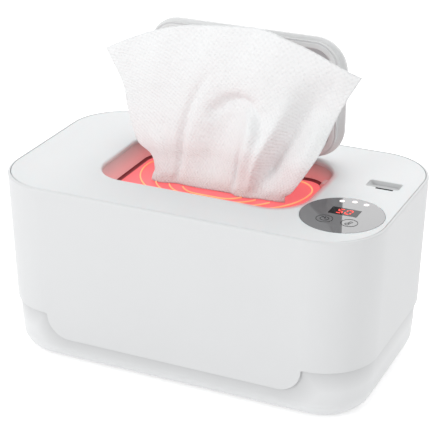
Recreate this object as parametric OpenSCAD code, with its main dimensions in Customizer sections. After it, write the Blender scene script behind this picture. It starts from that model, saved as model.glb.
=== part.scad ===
// Baby wipe warmer with a pop-up lid over a heated dispensing well.
// The housing lifts straight off a base that carries the wipe tank.
// X runs along the body, Y towards the back, Z up; the resting plane is z = 0.

/* [Body] */
// Length of the body
body_l = 210; // [202:1:225]
// Width of the body
body_w = 124.4; // [122:0.2:134]
// Height of the top face above the resting plane
body_h = 102.7; // [102:0.1:115]
// Plan corner radius at the top face
corner_r = 31.7; // [30:0.1:34]
// How far each side leans in from the top to the resting plane
draft = 3; // [1:0.25:3.5]
// Thickness of the housing wall
wall = 2.4; // [2:0.1:3]
// Height of the line where the housing sits on the base
split_z = 30; // [27:0.5:33]

/* [Housing rim] */
// Width of the rim left outside the top panel
rim_w = 1.4; // [1.2:0.1:1.8]
// Rounding of the rim's outer edge
rim_round = 1.1; // [0.6:0.1:1.3]
// Gap between the rim and the top panel
panel_gap = 0.35; // [0.25:0.05:0.5]
// Width of the ledge that carries the top panel, from the outer face
ledge_w = 5; // [4.5:0.1:6]
// Thickness of the ledge
ledge_t = 2.6; // [2:0.1:3]

/* [Housing aprons] */
// Length of the front and back aprons
apron_l = 145.4; // [130:0.2:146]
// Depth of the aprons below the split line
apron_drop = 13.7; // [10:0.1:15]
// Thickness of the aprons
apron_t = 1.1; // [0.8:0.05:1.15]
// Corner radius of the aprons
apron_r = 13; // [8:0.5:13.5]

/* [Base] */
// Height of the base's underside above the resting plane
base_lift = 0.8; // [0.5:0.1:1.5]
// Step from the housing face in to the base face
base_step = 1.3; // [1.25:0.05:1.6]
// Fillet round the base's lower edge
base_fillet = 10.4; // [8:0.1:11]
// Wall of the base
base_wall = 2.4; // [2:0.1:3]
// Height of the spigot that the housing slips over
spigot_h = 6; // [4:0.5:8]
// Wall of the spigot
spigot_wall = 1.8; // [1.4:0.1:2]
// Side clearance between the spigot and the housing
spigot_gap = 0.35; // [0.2:0.05:0.5]
// Radius of the rubber feet
foot_r = 6; // [4:0.5:8]
// Height of the rubber feet
foot_h = 2; // [1.6:0.1:2.2]
// Distance of the feet from the middle along X
foot_x = 70; // [60:1:78]
// Distance of the feet from the middle along Y
foot_y = 30; // [24:1:34]

/* [Wipe tank] */
// Gap between the tank's sealing ring and the divider plate
tank_clear = 0.5; // [0.3:0.1:3]
// Wall of the tank
tank_wall = 1.8; // [1.2:0.1:2.2]
// Side clearance between the tank and the base spigot
tank_gap = 0.5; // [0.3:0.1:0.8]
// Fillet round the tank's lower edge
tank_fillet = 8; // [7:0.5:10]
// Overhang of the rim flange
flange_w = 1.6; // [1:0.1:2]
// Thickness of the foam pad under the tank
pad_t = 3; // [2:0.5:3.5]
// Height of the sealing ring on the tank rim
gasket_h = 2; // [1.5:0.1:2.2]
// Free height over the stack of wipes
stack_room = 8; // [6:1:40]

/* [Top panel] */
// Thickness of the top panel
panel_t = 2.4; // [2:0.1:2.8]
// Length of the lid opening
opening_l = 116.4; // [112:0.2:118]
// Width of the lid opening
opening_w = 68; // [65:0.2:68.6]
// Corner radius of the lid opening
opening_r = 18.7; // [17:0.1:20]
// Place of the opening's middle along X
opening_x = -0.9; // [-2:0.1:0]
// Place of the opening's middle along Y
opening_y = 0.94; // [0:0.02:1.5]
// Rounding of the opening's upper edge
opening_round = 1.2; // [0.6:0.1:1.4]
// Length of the well at its foot
well_l = 105.6; // [100:0.2:106]
// Width of the well at its foot
well_w = 63; // [60:0.2:63.4]
// Corner radius of the well at its foot
well_r = 12.5; // [11:0.1:14]
// Depth of the well from the top face to its foot
well_depth = 10; // [9.6:0.1:10.4]
// Wall of the well
well_wall = 1.8; // [1.4:0.1:2]

/* [Lid] */
// Gap round the closed lid
lid_gap = 0.7; // [0.6:0.05:0.9]
// Thickness of the lid's skin
lid_t = 2.2; // [1.8:0.1:2.3]
// Depth of the lid from its skin to its rim face
lid_depth = 7.4; // [7.2:0.1:7.6]
// Clearance between the lid's plug and the well
plug_gap = 1.2; // [1.1:0.05:1.3]
// Width of the lid's rim face
plug_wall = 3; // [2.6:0.1:3.5]
// How far the lid stands open
lid_open = 91.2; // [80:0.1:91.5]
// Place of the lid's hinge axis along Y
hinge_y = 37.2; // [36.8:0.1:38]
// Radius of the lid's hinge barrel
barrel_r = 2; // [1.9:0.05:2.1]
// Length of the lid's hinge barrel
barrel_l = 44; // [36:1:50]
// Radius of the hinge pins
pin_r = 1; // [0.8:0.05:1.1]
// Running clearance of the hinge pins
pin_gap = 0.06; // [0.04:0.01:0.08]
// Length of the spring gap in the middle of the barrel
spring_room = 12; // [10:1:16]

/* [Heater] */
// Thickness of the heating plate
plate_t = 1.6; // [1.2:0.1:1.8]
// Gap from the foot of the well down to the heating plate
plate_drop = 1; // [0.8:0.1:1.2]
// How far the heating plate reaches past the well
plate_lap = 3; // [2:0.1:3.2]
// Thickness of the insulating sheet
sheet_t = 1.1; // [0.8:0.1:1.1]
// Length of the slot that the wipes come up through
slot_l = 74; // [60:1:76]
// Width of that slot
slot_w = 5; // [4.5:0.1:6]
// Radius of the heating wire
wire_r = 0.4; // [0.35:0.05:0.5]
// Turns of heating wire in front of the slot, and as many behind it
wire_turns = 3; // [1:1:3]
// From the well wall to the outer loop of the wire
wire_margin = 4.6; // [3.5:0.1:6]
// From the middle of the well to the front of the outer loop
wire_reach = 20; // [19:0.5:26]
// Height of the outer loop's bend centres behind the middle
wire_lift = 14; // [12:0.5:15]
// Between the fronts of two turns
wire_pitch = 3; // [2:0.1:3]
// Between the ends of two turns
wire_step = 8; // [7:0.5:9]
// From the slot's edge to the ends of the turns
wire_slot_gap = 3; // [2:0.5:4]
// Radius of the heater leads
lead_r = 0.7; // [0.5:0.05:0.8]

/* [Control disc] */
// Radius of the control disc
disc_r = 21.2; // [20:0.1:21.5]
// Thickness of the control disc
disc_t = 1.6; // [1.2:0.1:1.8]
// Width of the seat under the disc's edge
disc_seat = 1.6; // [1.2:0.1:1.8]
// Place of the disc along X
disc_x = 79.5; // [79:0.1:80]
// Place of the disc along Y
disc_y = -26.4; // [-27:0.1:-26]
// Length of the display window
display_l = 15.2; // [14:0.1:17]
// Width of the display window
display_w = 8.4; // [7.6:0.1:9]
// Radius of the ring round each touch key
key_ring_r = 4.3; // [3.6:0.1:4.6]
// Radius of the light pipes
pipe_r = 1.35; // [1:0.05:1.6]

/* [Lid release] */
// Length of the release key
key_l = 17; // [16.4:0.1:18]
// Width of the release key
key_w = 8.2; // [7.6:0.1:8.6]
// Place of the release key along X
key_x = 86.3; // [86:0.1:86.8]
// Place of the release key along Y
key_y = 18.2; // [17.8:0.1:18.6]
// Depth of the finger dish at its back edge
dish_depth = 2; // [1.4:0.1:2.1]
// Length of the slot in front of the key
gap_slot_l = 9.4; // [8:0.1:11]
// Width of the slot in front of the key
gap_slot_w = 1.5; // [1:0.1:1.7]
// Travel of the release key and of the latch bolt
key_travel = 1.5; // [1.3:0.1:1.6]
// Width of the latch bolt
bolt_w = 6; // [5:0.5:6.5]

/* [Dispensed wipe] */
// Width of a wipe
wipe_w = 150; // [130:1:160]
// Height of the pulled wipe above the top face
wipe_rise = 76; // [60:1:78]
// Lean of the pulled wipe towards the lid
wipe_lean = 8; // [4:0.5:9]
// Thickness of the pulled wipe with its folds
wipe_t = 3; // [2:0.5:4]

/* [Fasteners] */
// Radius of the screw shanks
screw_r = 1.25; // [1:0.05:1.4]
// Clearance of the screws in their bosses
screw_gap = 0.05; // [0.03:0.01:0.08]
// Length of the screw shanks
screw_l = 5.6; // [5:0.1:6]
// Place of the top panel's screws along X
panel_screw_x = 40; // [30:1:60]
// Distance of the top panel's screws in from the side faces
panel_screw_inset = 8.2; // [7.8:0.1:9]
// Distance of the divider's screws out from the lid opening
divider_screw_side = 1.5; // [1:0.1:2.5]
// Distance of the divider's screws in from the side faces
divider_screw_inset = 16.2; // [15:0.1:18]

/* [Hidden] */

fine = 96;
round_fn = 48;
close_gap = 0.1;
soft_gap = 0.3;

cx = body_l / 2 - corner_r;
cy = body_w / 2 - corner_r;
function lean(z) = draft * (body_h - z) / body_h;
function face_r(z) = corner_r - lean(z);

panel_z = body_h - panel_t;
ledge_z = panel_z - close_gap;
spigot_z = split_z - close_gap;
floor_z = base_lift + base_wall;
pad_z = floor_z + close_gap;
tank_z = pad_z + pad_t + close_gap;
tank_r = face_r(split_z) - wall - spigot_gap - spigot_wall - tank_gap;
stack_z = tank_z + tank_wall + soft_gap;

well_z = body_h - well_depth;
seat_depth = panel_t;
plate_z = well_z - plate_drop - plate_t;
sheet_z = plate_z - close_gap - sheet_t;
divider_t = 1.8;
divider_z = sheet_z - close_gap - divider_t;
divider_r = face_r(split_z) - wall - soft_gap;
tank_top = divider_z - tank_clear - gasket_h;
stack_h = tank_top - stack_room - stack_z;

hinge_z = body_h - barrel_r;
lid_l = opening_l - 2 * lid_gap;
lid_w = opening_w - 2 * lid_gap;
lid_r = opening_r - lid_gap;
function well_share(depth) = (depth - seat_depth) / (well_depth - seat_depth);
plug_l = opening_l - (opening_l - well_l) * well_share(lid_depth) - 2 * plug_gap;
plug_w = opening_w - (opening_w - well_w) * well_share(lid_depth) - 2 * plug_gap;
plug_r = opening_r - (opening_r - well_r) * well_share(lid_depth) - plug_gap;
seal_reach = plug_gap - 0.35;
seal_t = 0.8;

board_z = plate_z + plate_t + 0.7;
board_t = 1.2;
disc_z = body_h - disc_t;
post_r = 1.8;
icon_y = -34;
power_x = 73;
thermo_x = 86;
pipe_places = [[73.6, -10.4], [79.9, -8.9], [86.4, -9.9]];
display_place = [79.4, -22.4];

bolt_t = 2.4;
bolt_z = body_h - 7.7;
nose_z = body_h - 6.2;
nose_t = 2;
nose_x = opening_x + plug_l / 2 - plug_gap;
step_x = nose_x + 21;
wedge_tip = key_x - 2.7;
wedge_z = bolt_z + 0.4;
cap_z = body_h - 3.5;
wedge_gap = 0.25;
bolt_end = key_x + 2.3;
spring_x = key_x + 6.3;
key_spring_r = 1.9;
flange_t = 1;

panel_screw_y = body_w / 2 - panel_screw_inset;
divider_screw_x = opening_l / 2 + divider_screw_side;
divider_screw_y = body_w / 2 - divider_screw_inset;
panel_screws = [for (x = [-1, 1], y = [-1, 1]) [x * panel_screw_x, y * panel_screw_y]];
divider_screws = [for (x = [-1, 1], y = [-1, 1]) [opening_x + x * divider_screw_x, y * divider_screw_y]];
lug_t = 2;
lug_z = panel_z - 2.8 - lug_t;
boss_r = 3.2;
head_r = 2.6;
head_h = 1.6;

power_l = 26;
power_w = 25;
power_x0 = disc_x - 3.5;
power_gap = 9.2;
power_y0 = body_w / 2 - power_gap - power_w / 2;
board_inset = 2.5;
ribbon_w = 6;
ribbon_t = 0.9;
ribbon_tuck = 3.7;
ribbon_lap = 2;
power_z = divider_z + divider_t + 0.7;
inlet_x = power_x0 - power_l / 2 + 5;
inlet_z = power_z + 5.5;
inlet_r = 3.6;

// A body that follows the plan of the warmer: chain lists [corner radius, height]
// from the underside up to the top
module around(chain) {
    low = chain[0][1];
    high = chain[len(chain) - 1][1];
    half = concat([[0, low]], chain, [[0, high]]);
    for (c = [[cx, cy, 0], [-cx, cy, 90], [-cx, -cy, 180], [cx, -cy, 270]])
        translate([c[0], c[1], 0])
            rotate(c[2])
                rotate_extrude(angle = 90, $fn = fine)
                    polygon(half);
    for (side = [[0, cx, cy], [90, cy, cx], [180, cx, cy], [270, cy, cx]])
        rotate(side[0])
            translate([side[1], side[2], 0])
                rotate([90, 0, 0])
                    linear_extrude(2 * side[2])
                        polygon(half);
    translate([-cx, -cy, low])
        cube([2 * cx, 2 * cy, high - low]);
}

// Points of a quarter arc for a chain
function arc(r, z, radius, from, to, steps = 6) = [
    for (i = [0:steps])
        let (a = from + (to - from) * i / steps)
        [r + radius * cos(a), z + radius * sin(a)]
];

// Flat rounded rectangle with true arcs
module rounded(l, w, r) {
    square([l - 2 * r, w], center = true);
    square([l, w - 2 * r], center = true);
    for (x = [-1, 1], y = [-1, 1])
        translate([x * (l / 2 - r), y * (w / 2 - r)])
            circle(r, $fn = fine);
}

// Plate with rounded corners between two heights
module slab(l, w, r, low, high) {
    translate([0, 0, low])
        linear_extrude(high - low)
            rounded(l, w, r);
}

// One ring of points of a rounded rectangle
function ring(l, w, r, z, steps = 12) = [
    for (q = [0:3], i = [0:steps])
        let (
            a = 90 * q + 90 * i / steps,
            sx = (q == 0 || q == 3) ? 1 : -1,
            sy = (q < 2) ? 1 : -1
        )
        [sx * (l / 2 - r) + r * cos(a), sy * (w / 2 - r) + r * sin(a), z]
];

// Solid through a list of rings, lowest first
module loft(rings) {
    n = len(rings[0]);
    last = (len(rings) - 1) * n;
    polyhedron(
        points = [for (one = rings) each one],
        faces = concat(
            [[for (i = [0:n - 1]) i]],
            [[for (i = [n - 1:-1:0]) last + i]],
            [for (k = [0:len(rings) - 2], i = [0:n - 1])
                let (a = k * n + i, b = k * n + (i + 1) % n)
                [a, a + n, b + n, b]]
        )
    );
}

// Everything of the lid is drawn closed and then swung open
module swing() {
    translate([0, hinge_y, hinge_z])
        rotate([-lid_open, 0, 0])
            translate([0, -hinge_y, -hinge_z])
                children();
}

// Base: an open tub with a large lower fillet and a spigot above a shoulder
module base_tray() {
    foot = face_r(base_lift) - base_step;
    color("#dedfe0")
    difference() {
        around(concat(
            arc(foot - base_fillet, base_lift + base_fillet, base_fillet, -90, 0),
            [[face_r(spigot_z) - base_step, spigot_z]],
            [[face_r(spigot_z) - wall - spigot_gap, spigot_z]],
            [[face_r(split_z + spigot_h) - wall - spigot_gap, split_z + spigot_h]]
        ));
        around(concat(
            arc(foot - base_fillet, base_lift + base_fillet, base_fillet - base_wall, -90, 0),
            [[face_r(spigot_z - 2) - base_step - base_wall, spigot_z - 2]],
            [[face_r(spigot_z) - wall - spigot_gap - spigot_wall, spigot_z]],
            [[face_r(split_z) - wall - spigot_gap - spigot_wall, split_z + spigot_h + 1]]
        ));
        for (x = [-foot_x, foot_x], y = [-foot_y, foot_y])
            translate([x, y, -1])
                cylinder(h = foot_h + 1, r = foot_r + close_gap, $fn = round_fn);
    }
}

// Four rubber feet pressed into round pockets
module rubber_feet() {
    color("#6f7073")
    for (x = [-foot_x, foot_x], y = [-foot_y, foot_y])
        translate([x, y, 0])
            cylinder(h = foot_h - close_gap, r = foot_r, $fn = round_fn);
}

// Foam pad that keeps the tank's heat off the base
module foam_pad() {
    inset = base_fillet + base_step + 4;
    color("#b9bcc0")
    slab(2 * (cx + face_r(0) - inset), 2 * (cy + face_r(0) - inset), 10, pad_z, pad_z + pad_t);
}

// Tank for the wipes, seated in the base, with a rim flange
module wipe_tank() {
    color("#eceeef")
    difference() {
        around(concat(
            arc(tank_r - tank_fillet, tank_z + tank_fillet, tank_fillet, -90, 0),
            [[tank_r, tank_top - 3.5]],
            [[tank_r + flange_w, tank_top - 1.6]],
            [[tank_r + flange_w, tank_top]]
        ));
        around(concat(
            arc(tank_r - tank_fillet, tank_z + tank_fillet, tank_fillet - tank_wall, -90, 0),
            [[tank_r - tank_wall, tank_top + 1]]
        ));
    }
}

// Silicone ring on the tank's rim
module tank_gasket() {
    color("#d5dadd")
    difference() {
        around([[tank_r + flange_w - 0.4, tank_top], [tank_r + flange_w - 0.4, tank_top + gasket_h]]);
        around([[tank_r - tank_wall + 0.6, tank_top - 1], [tank_r - tank_wall + 0.6, tank_top + gasket_h + 1]]);
    }
}

// Stack of folded wipes
module wipe_stack() {
    color("#f7f8f8")
    around([
        [tank_r - tank_fillet, stack_z],
        [tank_r - tank_wall - 1, stack_z + tank_fillet - 1],
        [tank_r - tank_wall - 1, stack_z + stack_h]
    ]);
}

// Outline of an apron in length and height
module apron_outline() {
    low = split_z - apron_drop;
    translate([-apron_l / 2, low + apron_r])
        square([apron_l, apron_drop - apron_r + 1]);
    translate([-apron_l / 2 + apron_r, low])
        square([apron_l - 2 * apron_r, apron_drop + 1]);
    for (x = [-1, 1])
        translate([x * (apron_l / 2 - apron_r), low + apron_r])
            circle(apron_r, $fn = fine);
}

// Front and back aprons that hang from the housing over the base
module aprons() {
    low = split_z - apron_drop - 1;
    for (turn = [0, 180])
        rotate(turn)
            intersection() {
                translate([0, -body_w / 2 + draft + 2, 0])
                    rotate([90, 0, 0])
                        linear_extrude(draft + 4)
                            apron_outline();
                translate([-apron_l / 2 - 1, 0, 0])
                    rotate([90, 0, 90])
                        linear_extrude(apron_l + 2)
                            polygon([
                                [-cy - face_r(low), low],
                                [-cy - face_r(split_z + 1), split_z + 1],
                                [-cy - face_r(split_z + 1) + apron_t, split_z + 1],
                                [-cy - face_r(low) + apron_t, low]
                            ]);
            }
}

// Outer shell with its rim, the ledge for the top panel, lugs and the inlet hole
module upper_housing() {
    color("#e4e5e6")
    difference() {
        union() {
            difference() {
                around(concat(
                    [[face_r(split_z), split_z]],
                    arc(corner_r - rim_round, body_h - rim_round, rim_round, 0, 90)
                ));
                around([
                    [face_r(split_z) - wall, split_z - 1],
                    [face_r(ledge_z) - wall, ledge_z - ledge_t - ledge_w + wall],
                    [corner_r - ledge_w, ledge_z - ledge_t],
                    [corner_r - ledge_w, ledge_z],
                    [corner_r - rim_w, ledge_z],
                    [corner_r - rim_w, body_h + 1]
                ]);
            }
            for (p = panel_screws)
                translate([p[0], p[1], lug_z])
                    linear_extrude(lug_t) {
                        circle(boss_r, $fn = round_fn);
                        translate([-boss_r, p[1] > 0 ? 0 : -(body_w / 2 - wall + 1 - abs(p[1]))])
                            square([2 * boss_r, body_w / 2 - wall + 1 - abs(p[1])]);
                    }
            aprons();
        }
        for (p = panel_screws)
            translate([p[0], p[1], lug_z - 1])
                cylinder(h = lug_t + 2, r = screw_r + 0.3, $fn = round_fn);
        translate([inlet_x, body_w / 2 + 1, inlet_z])
            rotate([90, 0, 0])
                cylinder(h = wall + ledge_w, r = inlet_r + close_gap, $fn = round_fn);
        translate([inlet_x - 5.5, body_w / 2 - wall - ledge_w, power_z])
            cube([11, ledge_w + 0.4, body_h - panel_t - power_z]);
    }
}

// Space taken by the well's inner faces
module well_hollow() {
    e = opening_round;
    translate([opening_x, opening_y, 0])
        loft(concat(
            [ring(well_l, well_w, well_r, well_z - 1)],
            [ring(well_l, well_w, well_r, well_z)],
            [ring(opening_l, opening_w, opening_r, body_h - seat_depth)],
            [for (i = [0:4])
                let (a = 90 * i / 4, grow = 2 * e * (1 - cos(a)))
                ring(opening_l + grow, opening_w + grow, opening_r + grow / 2,
                    body_h - e + e * sin(a))],
            [ring(opening_l + 2 * e, opening_w + 2 * e, opening_r + e, body_h + 1)]
        ));
}

// Outside of the well below the top panel
module well_body() {
    t = 2 * well_wall;
    translate([opening_x, opening_y, 0])
        loft([
            ring(well_l + t, well_w + t, well_r + well_wall, well_z),
            ring(opening_l + t, opening_w + t, opening_r + well_wall, panel_z + 0.5)
        ]);
}

// Top panel with the heated well, hinge ears, seats and posts
module top_panel() {
    color("#f0f0f1")
    difference() {
        union() {
            around([
                [corner_r - rim_w - panel_gap, panel_z],
                [corner_r - rim_w - panel_gap, body_h - 0.4],
                [corner_r - rim_w - panel_gap - 0.4, body_h]
            ]);
            well_body();
            for (p = panel_screws)
                translate([p[0], p[1], lug_z + lug_t + close_gap])
                    cylinder(h = panel_z - lug_z - lug_t, r = boss_r, $fn = round_fn);
            for (p = divider_screws)
                translate([p[0], p[1], divider_z + divider_t + close_gap])
                    cylinder(h = panel_z - divider_z - divider_t, r = boss_r, $fn = round_fn);
            for (a = [45:90:315])
                translate([
                    disc_x + (disc_r + 0.6) * cos(a),
                    disc_y + (disc_r + 0.6) * sin(a),
                    board_z + board_t + close_gap
                ])
                    cylinder(h = panel_z - board_z - board_t, r = post_r, $fn = 24);
            for (x = [-1, 1])
                translate([opening_x + x * (barrel_l / 2 + 3.3) - 3, hinge_y - 3, hinge_z - 3.4])
                    cube([6, 6, 3]);
        }
        well_hollow();
        translate([opening_x - barrel_l / 2 - 0.3, opening_y + opening_w / 2 - 1, hinge_z - barrel_r - soft_gap])
            cube([barrel_l + 0.6, hinge_y + barrel_r + 0.15 - opening_y - opening_w / 2 + 1, 10]);
        translate([opening_x - barrel_l / 2 - 7, hinge_y, hinge_z])
            rotate([0, 90, 0])
                cylinder(h = barrel_l + 14, r = pin_r, $fn = round_fn);
        translate([disc_x, disc_y, disc_z - close_gap])
            cylinder(h = disc_t + 1, r = disc_r + 0.15, $fn = fine);
        translate([disc_x, disc_y, panel_z - 1])
            cylinder(h = panel_t + 2, r = disc_r - disc_seat, $fn = fine);
        translate([key_x, key_y, 0])
            slab(key_l + 0.5, key_w + 0.5, 1.4, panel_z - 1, body_h + 1);
        translate([key_x + 1.7, key_y - key_w / 2 - gap_slot_w / 2 - 0.6, 0])
            slab(gap_slot_l, gap_slot_w, 0.3, panel_z - 1, body_h + 1);
        translate([nose_x - 3, key_y - bolt_w / 2 - 0.2, nose_z - 0.2])
            cube([12, bolt_w + 0.4, nose_t + 0.4]);
        for (p = concat(panel_screws, divider_screws))
            translate([p[0], p[1], divider_z])
                cylinder(h = body_h - 1.2 - divider_z, r = screw_r + screw_gap, $fn = round_fn);
    }
}

// Plate under the heater and the boards, resting on the tank's sealing ring
module divider_plate() {
    top = divider_z + divider_t;
    color("#e9eaeb")
    difference() {
        union() {
            around([[divider_r, divider_z], [divider_r, top]]);
            for (x = [-1, 1], y = [-1, 1])
                translate([power_x0 + x * (power_l / 2 - 3), power_y0 + y * (power_w / 2 - 3), top - 0.5])
                    cylinder(h = power_z - top + 0.4, r = 2, $fn = 24);
            translate([spring_x, key_y, top - 0.5])
                cylinder(h = 1.5, r = 1.1, $fn = 24);
        }
        translate([opening_x, opening_y - 0.94, 0])
            slab(slot_l + 4, slot_w + 3, 3, divider_z - 1, top + 1);
        for (p = divider_screws)
            translate([p[0], p[1], divider_z - 1])
                cylinder(h = divider_t + 2, r = screw_r + 0.3, $fn = round_fn);
    }
}

// One pan head screw with its head's upper face at height z
module screw(x, y, z) {
    translate([x, y, z]) {
        translate([0, 0, -head_h])
            cylinder(h = head_h, r = head_r, $fn = 32);
        translate([0, 0, -0.1])
            cylinder(h = screw_l + 0.1, r = screw_r, $fn = 32);
    }
}

// Eight like screws: four hold the top panel, four the divider plate
module case_screws() {
    color("#9a9ca0") {
        for (p = panel_screws)
            screw(p[0], p[1], lug_z);
        for (p = divider_screws)
            screw(p[0], p[1], divider_z);
    }
}

// Plan of the plate and the sheet below the well
module heater_plan(inset) {
    translate([opening_x, opening_y])
        rounded(well_l + 2 * plate_lap - 2 * inset, well_w + 2 * plate_lap - 2 * inset, well_r);
}

// Heated floor of the well with the slot for the wipes
module heating_plate() {
    color("#f87b7e")
    translate([0, 0, plate_z])
        linear_extrude(plate_t)
            difference() {
                heater_plan(0);
                translate([opening_x, 0])
                    rounded(slot_l, slot_w, slot_w / 2 - 0.1);
            }
}

// One straight run of heating wire along the well, at a place across it
module wire_run(half, y) {
    translate([-half, y, 0])
        rotate([0, 90, 0])
            cylinder(h = 2 * half, r = wire_r, $fn = 16);
}

// Two mirrored bends of heating wire, from an angle on by a sweep
module wire_bends(x, y, bend, start, sweep) {
    for (side = [0, 1])
        mirror([side, 0, 0])
            translate([x, y, 0])
                rotate(start)
                    rotate_extrude(angle = sweep, $fn = round_fn)
                        translate([bend, 0])
                            circle(wire_r, $fn = 16);
}

// One turn of heating wire: it leaves the slot's edge, swings round and comes back to it
module wire_turn(foot, reach, bend) {
    rise = asin((reach - bend - slot_w / 2 - wire_slot_gap) / bend);
    wire_bends(foot - bend * cos(rise), bend - reach, bend, 270, 90 + rise);
    wire_run(foot - bend * cos(rise), -reach);
}

// Outer loop of heating wire, with wide bends in front and tighter ones behind
module wire_loop() {
    half = well_l / 2 - wire_margin;
    back = opening_y + well_w / 2 - wire_margin;
    front_bend = wire_reach + wire_lift;
    back_bend = back - wire_lift;
    wire_bends(half - front_bend, wire_lift, front_bend, 270, 90);
    wire_bends(half - back_bend, wire_lift, back_bend, 0, 90);
    wire_run(half - front_bend, -wire_reach);
    wire_run(half - back_bend, back);
}

// Heating wire: a loop round the slot, and nested turns in front of it and behind it
module heating_wire() {
    color("#ffb04a")
    translate([opening_x, 0, plate_z + plate_t + wire_r]) {
        wire_loop();
        for (turn = [0, 180], i = [1:wire_turns])
            rotate(turn)
                wire_turn(
                    slot_l / 2 - (i - 0.5) * wire_step,
                    wire_reach - i * wire_pitch,
                    wire_reach - i * wire_pitch + wire_lift * pow(0.5, i)
                );
    }
}

// Mica sheet under the heating plate, with windows for the sensor and the fuse
module insulating_sheet() {
    color("#d8cfb4")
    translate([0, 0, sheet_z])
        linear_extrude(sheet_t)
            difference() {
                heater_plan(1);
                translate([opening_x, 0])
                    rounded(slot_l + 2, slot_w + 1, 1.5);
                translate([opening_x - 20, -16])
                    square([8, 5], center = true);
                translate([opening_x + 20, -16])
                    square([11, 5], center = true);
            }
}

// Flat temperature sensor under the heating plate
module temperature_sensor() {
    color("#2b2c30")
    translate([opening_x - 23, -17.5, sheet_z + 0.05])
        cube([6, 3, sheet_t]);
}

// Thermal fuse under the heating plate
module thermal_fuse() {
    color("#c9b06a")
    translate([opening_x + 15.5, -17.5, sheet_z + 0.05])
        cube([9, 3, sheet_t]);
}

// Two insulated wires from the power board to the heating plate
module heater_leads() {
    corner_x = opening_x + well_l / 2 + plate_lap - well_r;
    corner_y = opening_y + well_w / 2 + plate_lap - well_r;
    color("#b3262b")
    for (y = [power_y0 - power_w / 2 + 0.8, power_y0 - power_w / 2 + 3.4]) {
        start = corner_x + sqrt(pow(well_r, 2) - pow(y - lead_r - corner_y, 2)) + 0.2;
        translate([start, y, plate_z + plate_t / 2])
            rotate([0, 90, 0])
                cylinder(h = power_x0 - power_l / 2 - 0.2 - start, r = lead_r, $fn = 24);
    }
}

// Smoked gloss disc over the display and the touch keys
module control_disc() {
    color("#77787a")
    translate([0, 0, disc_z])
        difference() {
            translate([disc_x, disc_y, 0])
                cylinder(h = disc_t, r = disc_r, $fn = fine);
            translate([display_place[0], display_place[1], 0])
                slab(display_l, display_w, 0.4, -1, disc_t + 1);
            for (p = pipe_places)
                translate([p[0], p[1], -1])
                    cylinder(h = disc_t + 2, r = pipe_r + close_gap / 2, $fn = 32);
        }
}

// Dark lens over the display
module display_window() {
    color("#3a3b3d")
    translate([display_place[0], display_place[1], 0])
        slab(display_l - close_gap, display_w - close_gap, 0.35, disc_z + 0.2, body_h);
}

// Lit segments of one digit: which of the seven bars are on
module digit(on) {
    h = 2.3;
    w = 2.7;
    t = 0.62;
    bars = [[0, h, 0], [w / 2, h / 2, 90], [w / 2, -h / 2, 90], [0, -h, 0],
        [-w / 2, -h / 2, 90], [-w / 2, h / 2, 90], [0, 0, 0]];
    for (i = [0:6])
        if (on[i] == 1)
            translate([bars[i][0] + 0.2 * bars[i][1], bars[i][1]])
                rotate(bars[i][2])
                    square([(bars[i][2] == 0 ? w : h) - t - 0.1, t], center = true);
}

// The number shown: fifty degrees
module display_digits() {
    color("#ff5b4d")
    translate([display_place[0], display_place[1], body_h])
        linear_extrude(0.1) {
            translate([-2.2, 0])
                digit([1, 0, 1, 1, 0, 1, 1]);
            translate([2.2, 0])
                digit([1, 1, 1, 1, 1, 1, 0]);
        }
}

// Thin printed ring
module print_ring(r, t) {
    difference() {
        circle(r, $fn = round_fn);
        circle(r - t, $fn = round_fn);
    }
}

// Printed marks of the two touch keys: a power sign and a thermometer
module touch_icons() {
    line = 0.28;
    color("#4b4c4e")
    translate([0, 0, body_h])
        linear_extrude(0.08) {
            translate([power_x, icon_y]) {
                print_ring(key_ring_r, line);
                difference() {
                    print_ring(2.3, line + 0.1);
                    translate([-0.9, 0.6])
                        square([1.8, 3]);
                }
                translate([-0.19, 0.2])
                    square([0.38, 2.4]);
            }
            translate([thermo_x, icon_y]) {
                print_ring(key_ring_r, line);
                rotate(-24) {
                    for (x = [-0.75, 0.45])
                        translate([x, -0.9])
                            square([0.3, 2.9]);
                    translate([0, -1.7])
                        print_ring(1.2, 0.32);
                }
            }
        }
}

// Three light pipes of the night light
module light_pipes() {
    color("#fdfbf6")
    for (p = pipe_places)
        translate([p[0], p[1], board_z + board_t + close_gap])
            cylinder(h = body_h - board_z - board_t - close_gap, r = pipe_r, $fn = 32);
}

// Board under the control disc
module display_board() {
    color("#2f6b46")
    translate([disc_x, disc_y, 0])
        slab(2 * (disc_r - board_inset), 2 * (disc_r - board_inset), 4, board_z, board_z + board_t);
}

// Two digit display
module display_module() {
    color("#1f2022")
    translate([display_place[0], display_place[1], 0])
        slab(display_l - 1, display_w - 1, 0.6, board_z + board_t + close_gap, disc_z + close_gap);
}

// Contact springs between the board and the two touch keys
module touch_springs() {
    color("#b9bbbe")
    for (x = [power_x, thermo_x])
        translate([x, icon_y, board_z + board_t + close_gap])
            difference() {
                cylinder(h = disc_z - board_z - board_t - 2 * close_gap, r = 2.6, $fn = 32);
                translate([0, 0, -1])
                    cylinder(h = 20, r = 2, $fn = 32);
            }
}

// Flat cable between the two boards
module display_ribbon() {
    start = disc_y + disc_r - board_inset - ribbon_tuck;
    end = power_y0 - power_w / 2 + ribbon_lap;
    color("#8a8d92")
    translate([disc_x - ribbon_w - 1, start, board_z - ribbon_t - 0.3])
        cube([ribbon_w, end - start, ribbon_t]);
}

// Power board at the back
module power_board() {
    color("#2f6b46")
    translate([power_x0, power_y0, 0])
        slab(power_l, power_w, 2, power_z, power_z + board_t);
}

// Capacitor, switch and plug block on the power board
module power_components() {
    top = power_z + board_t;
    color("#26282c")
    translate([power_x0, power_y0, top]) {
        translate([8, 6, 0])
            cylinder(h = 7.5, r = 3.4, $fn = 32);
        translate([4, -10, 0])
            cube([6, 5, 4]);
        translate([-9, -4, 0])
            cube([7, 6, 5]);
    }
}

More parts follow.
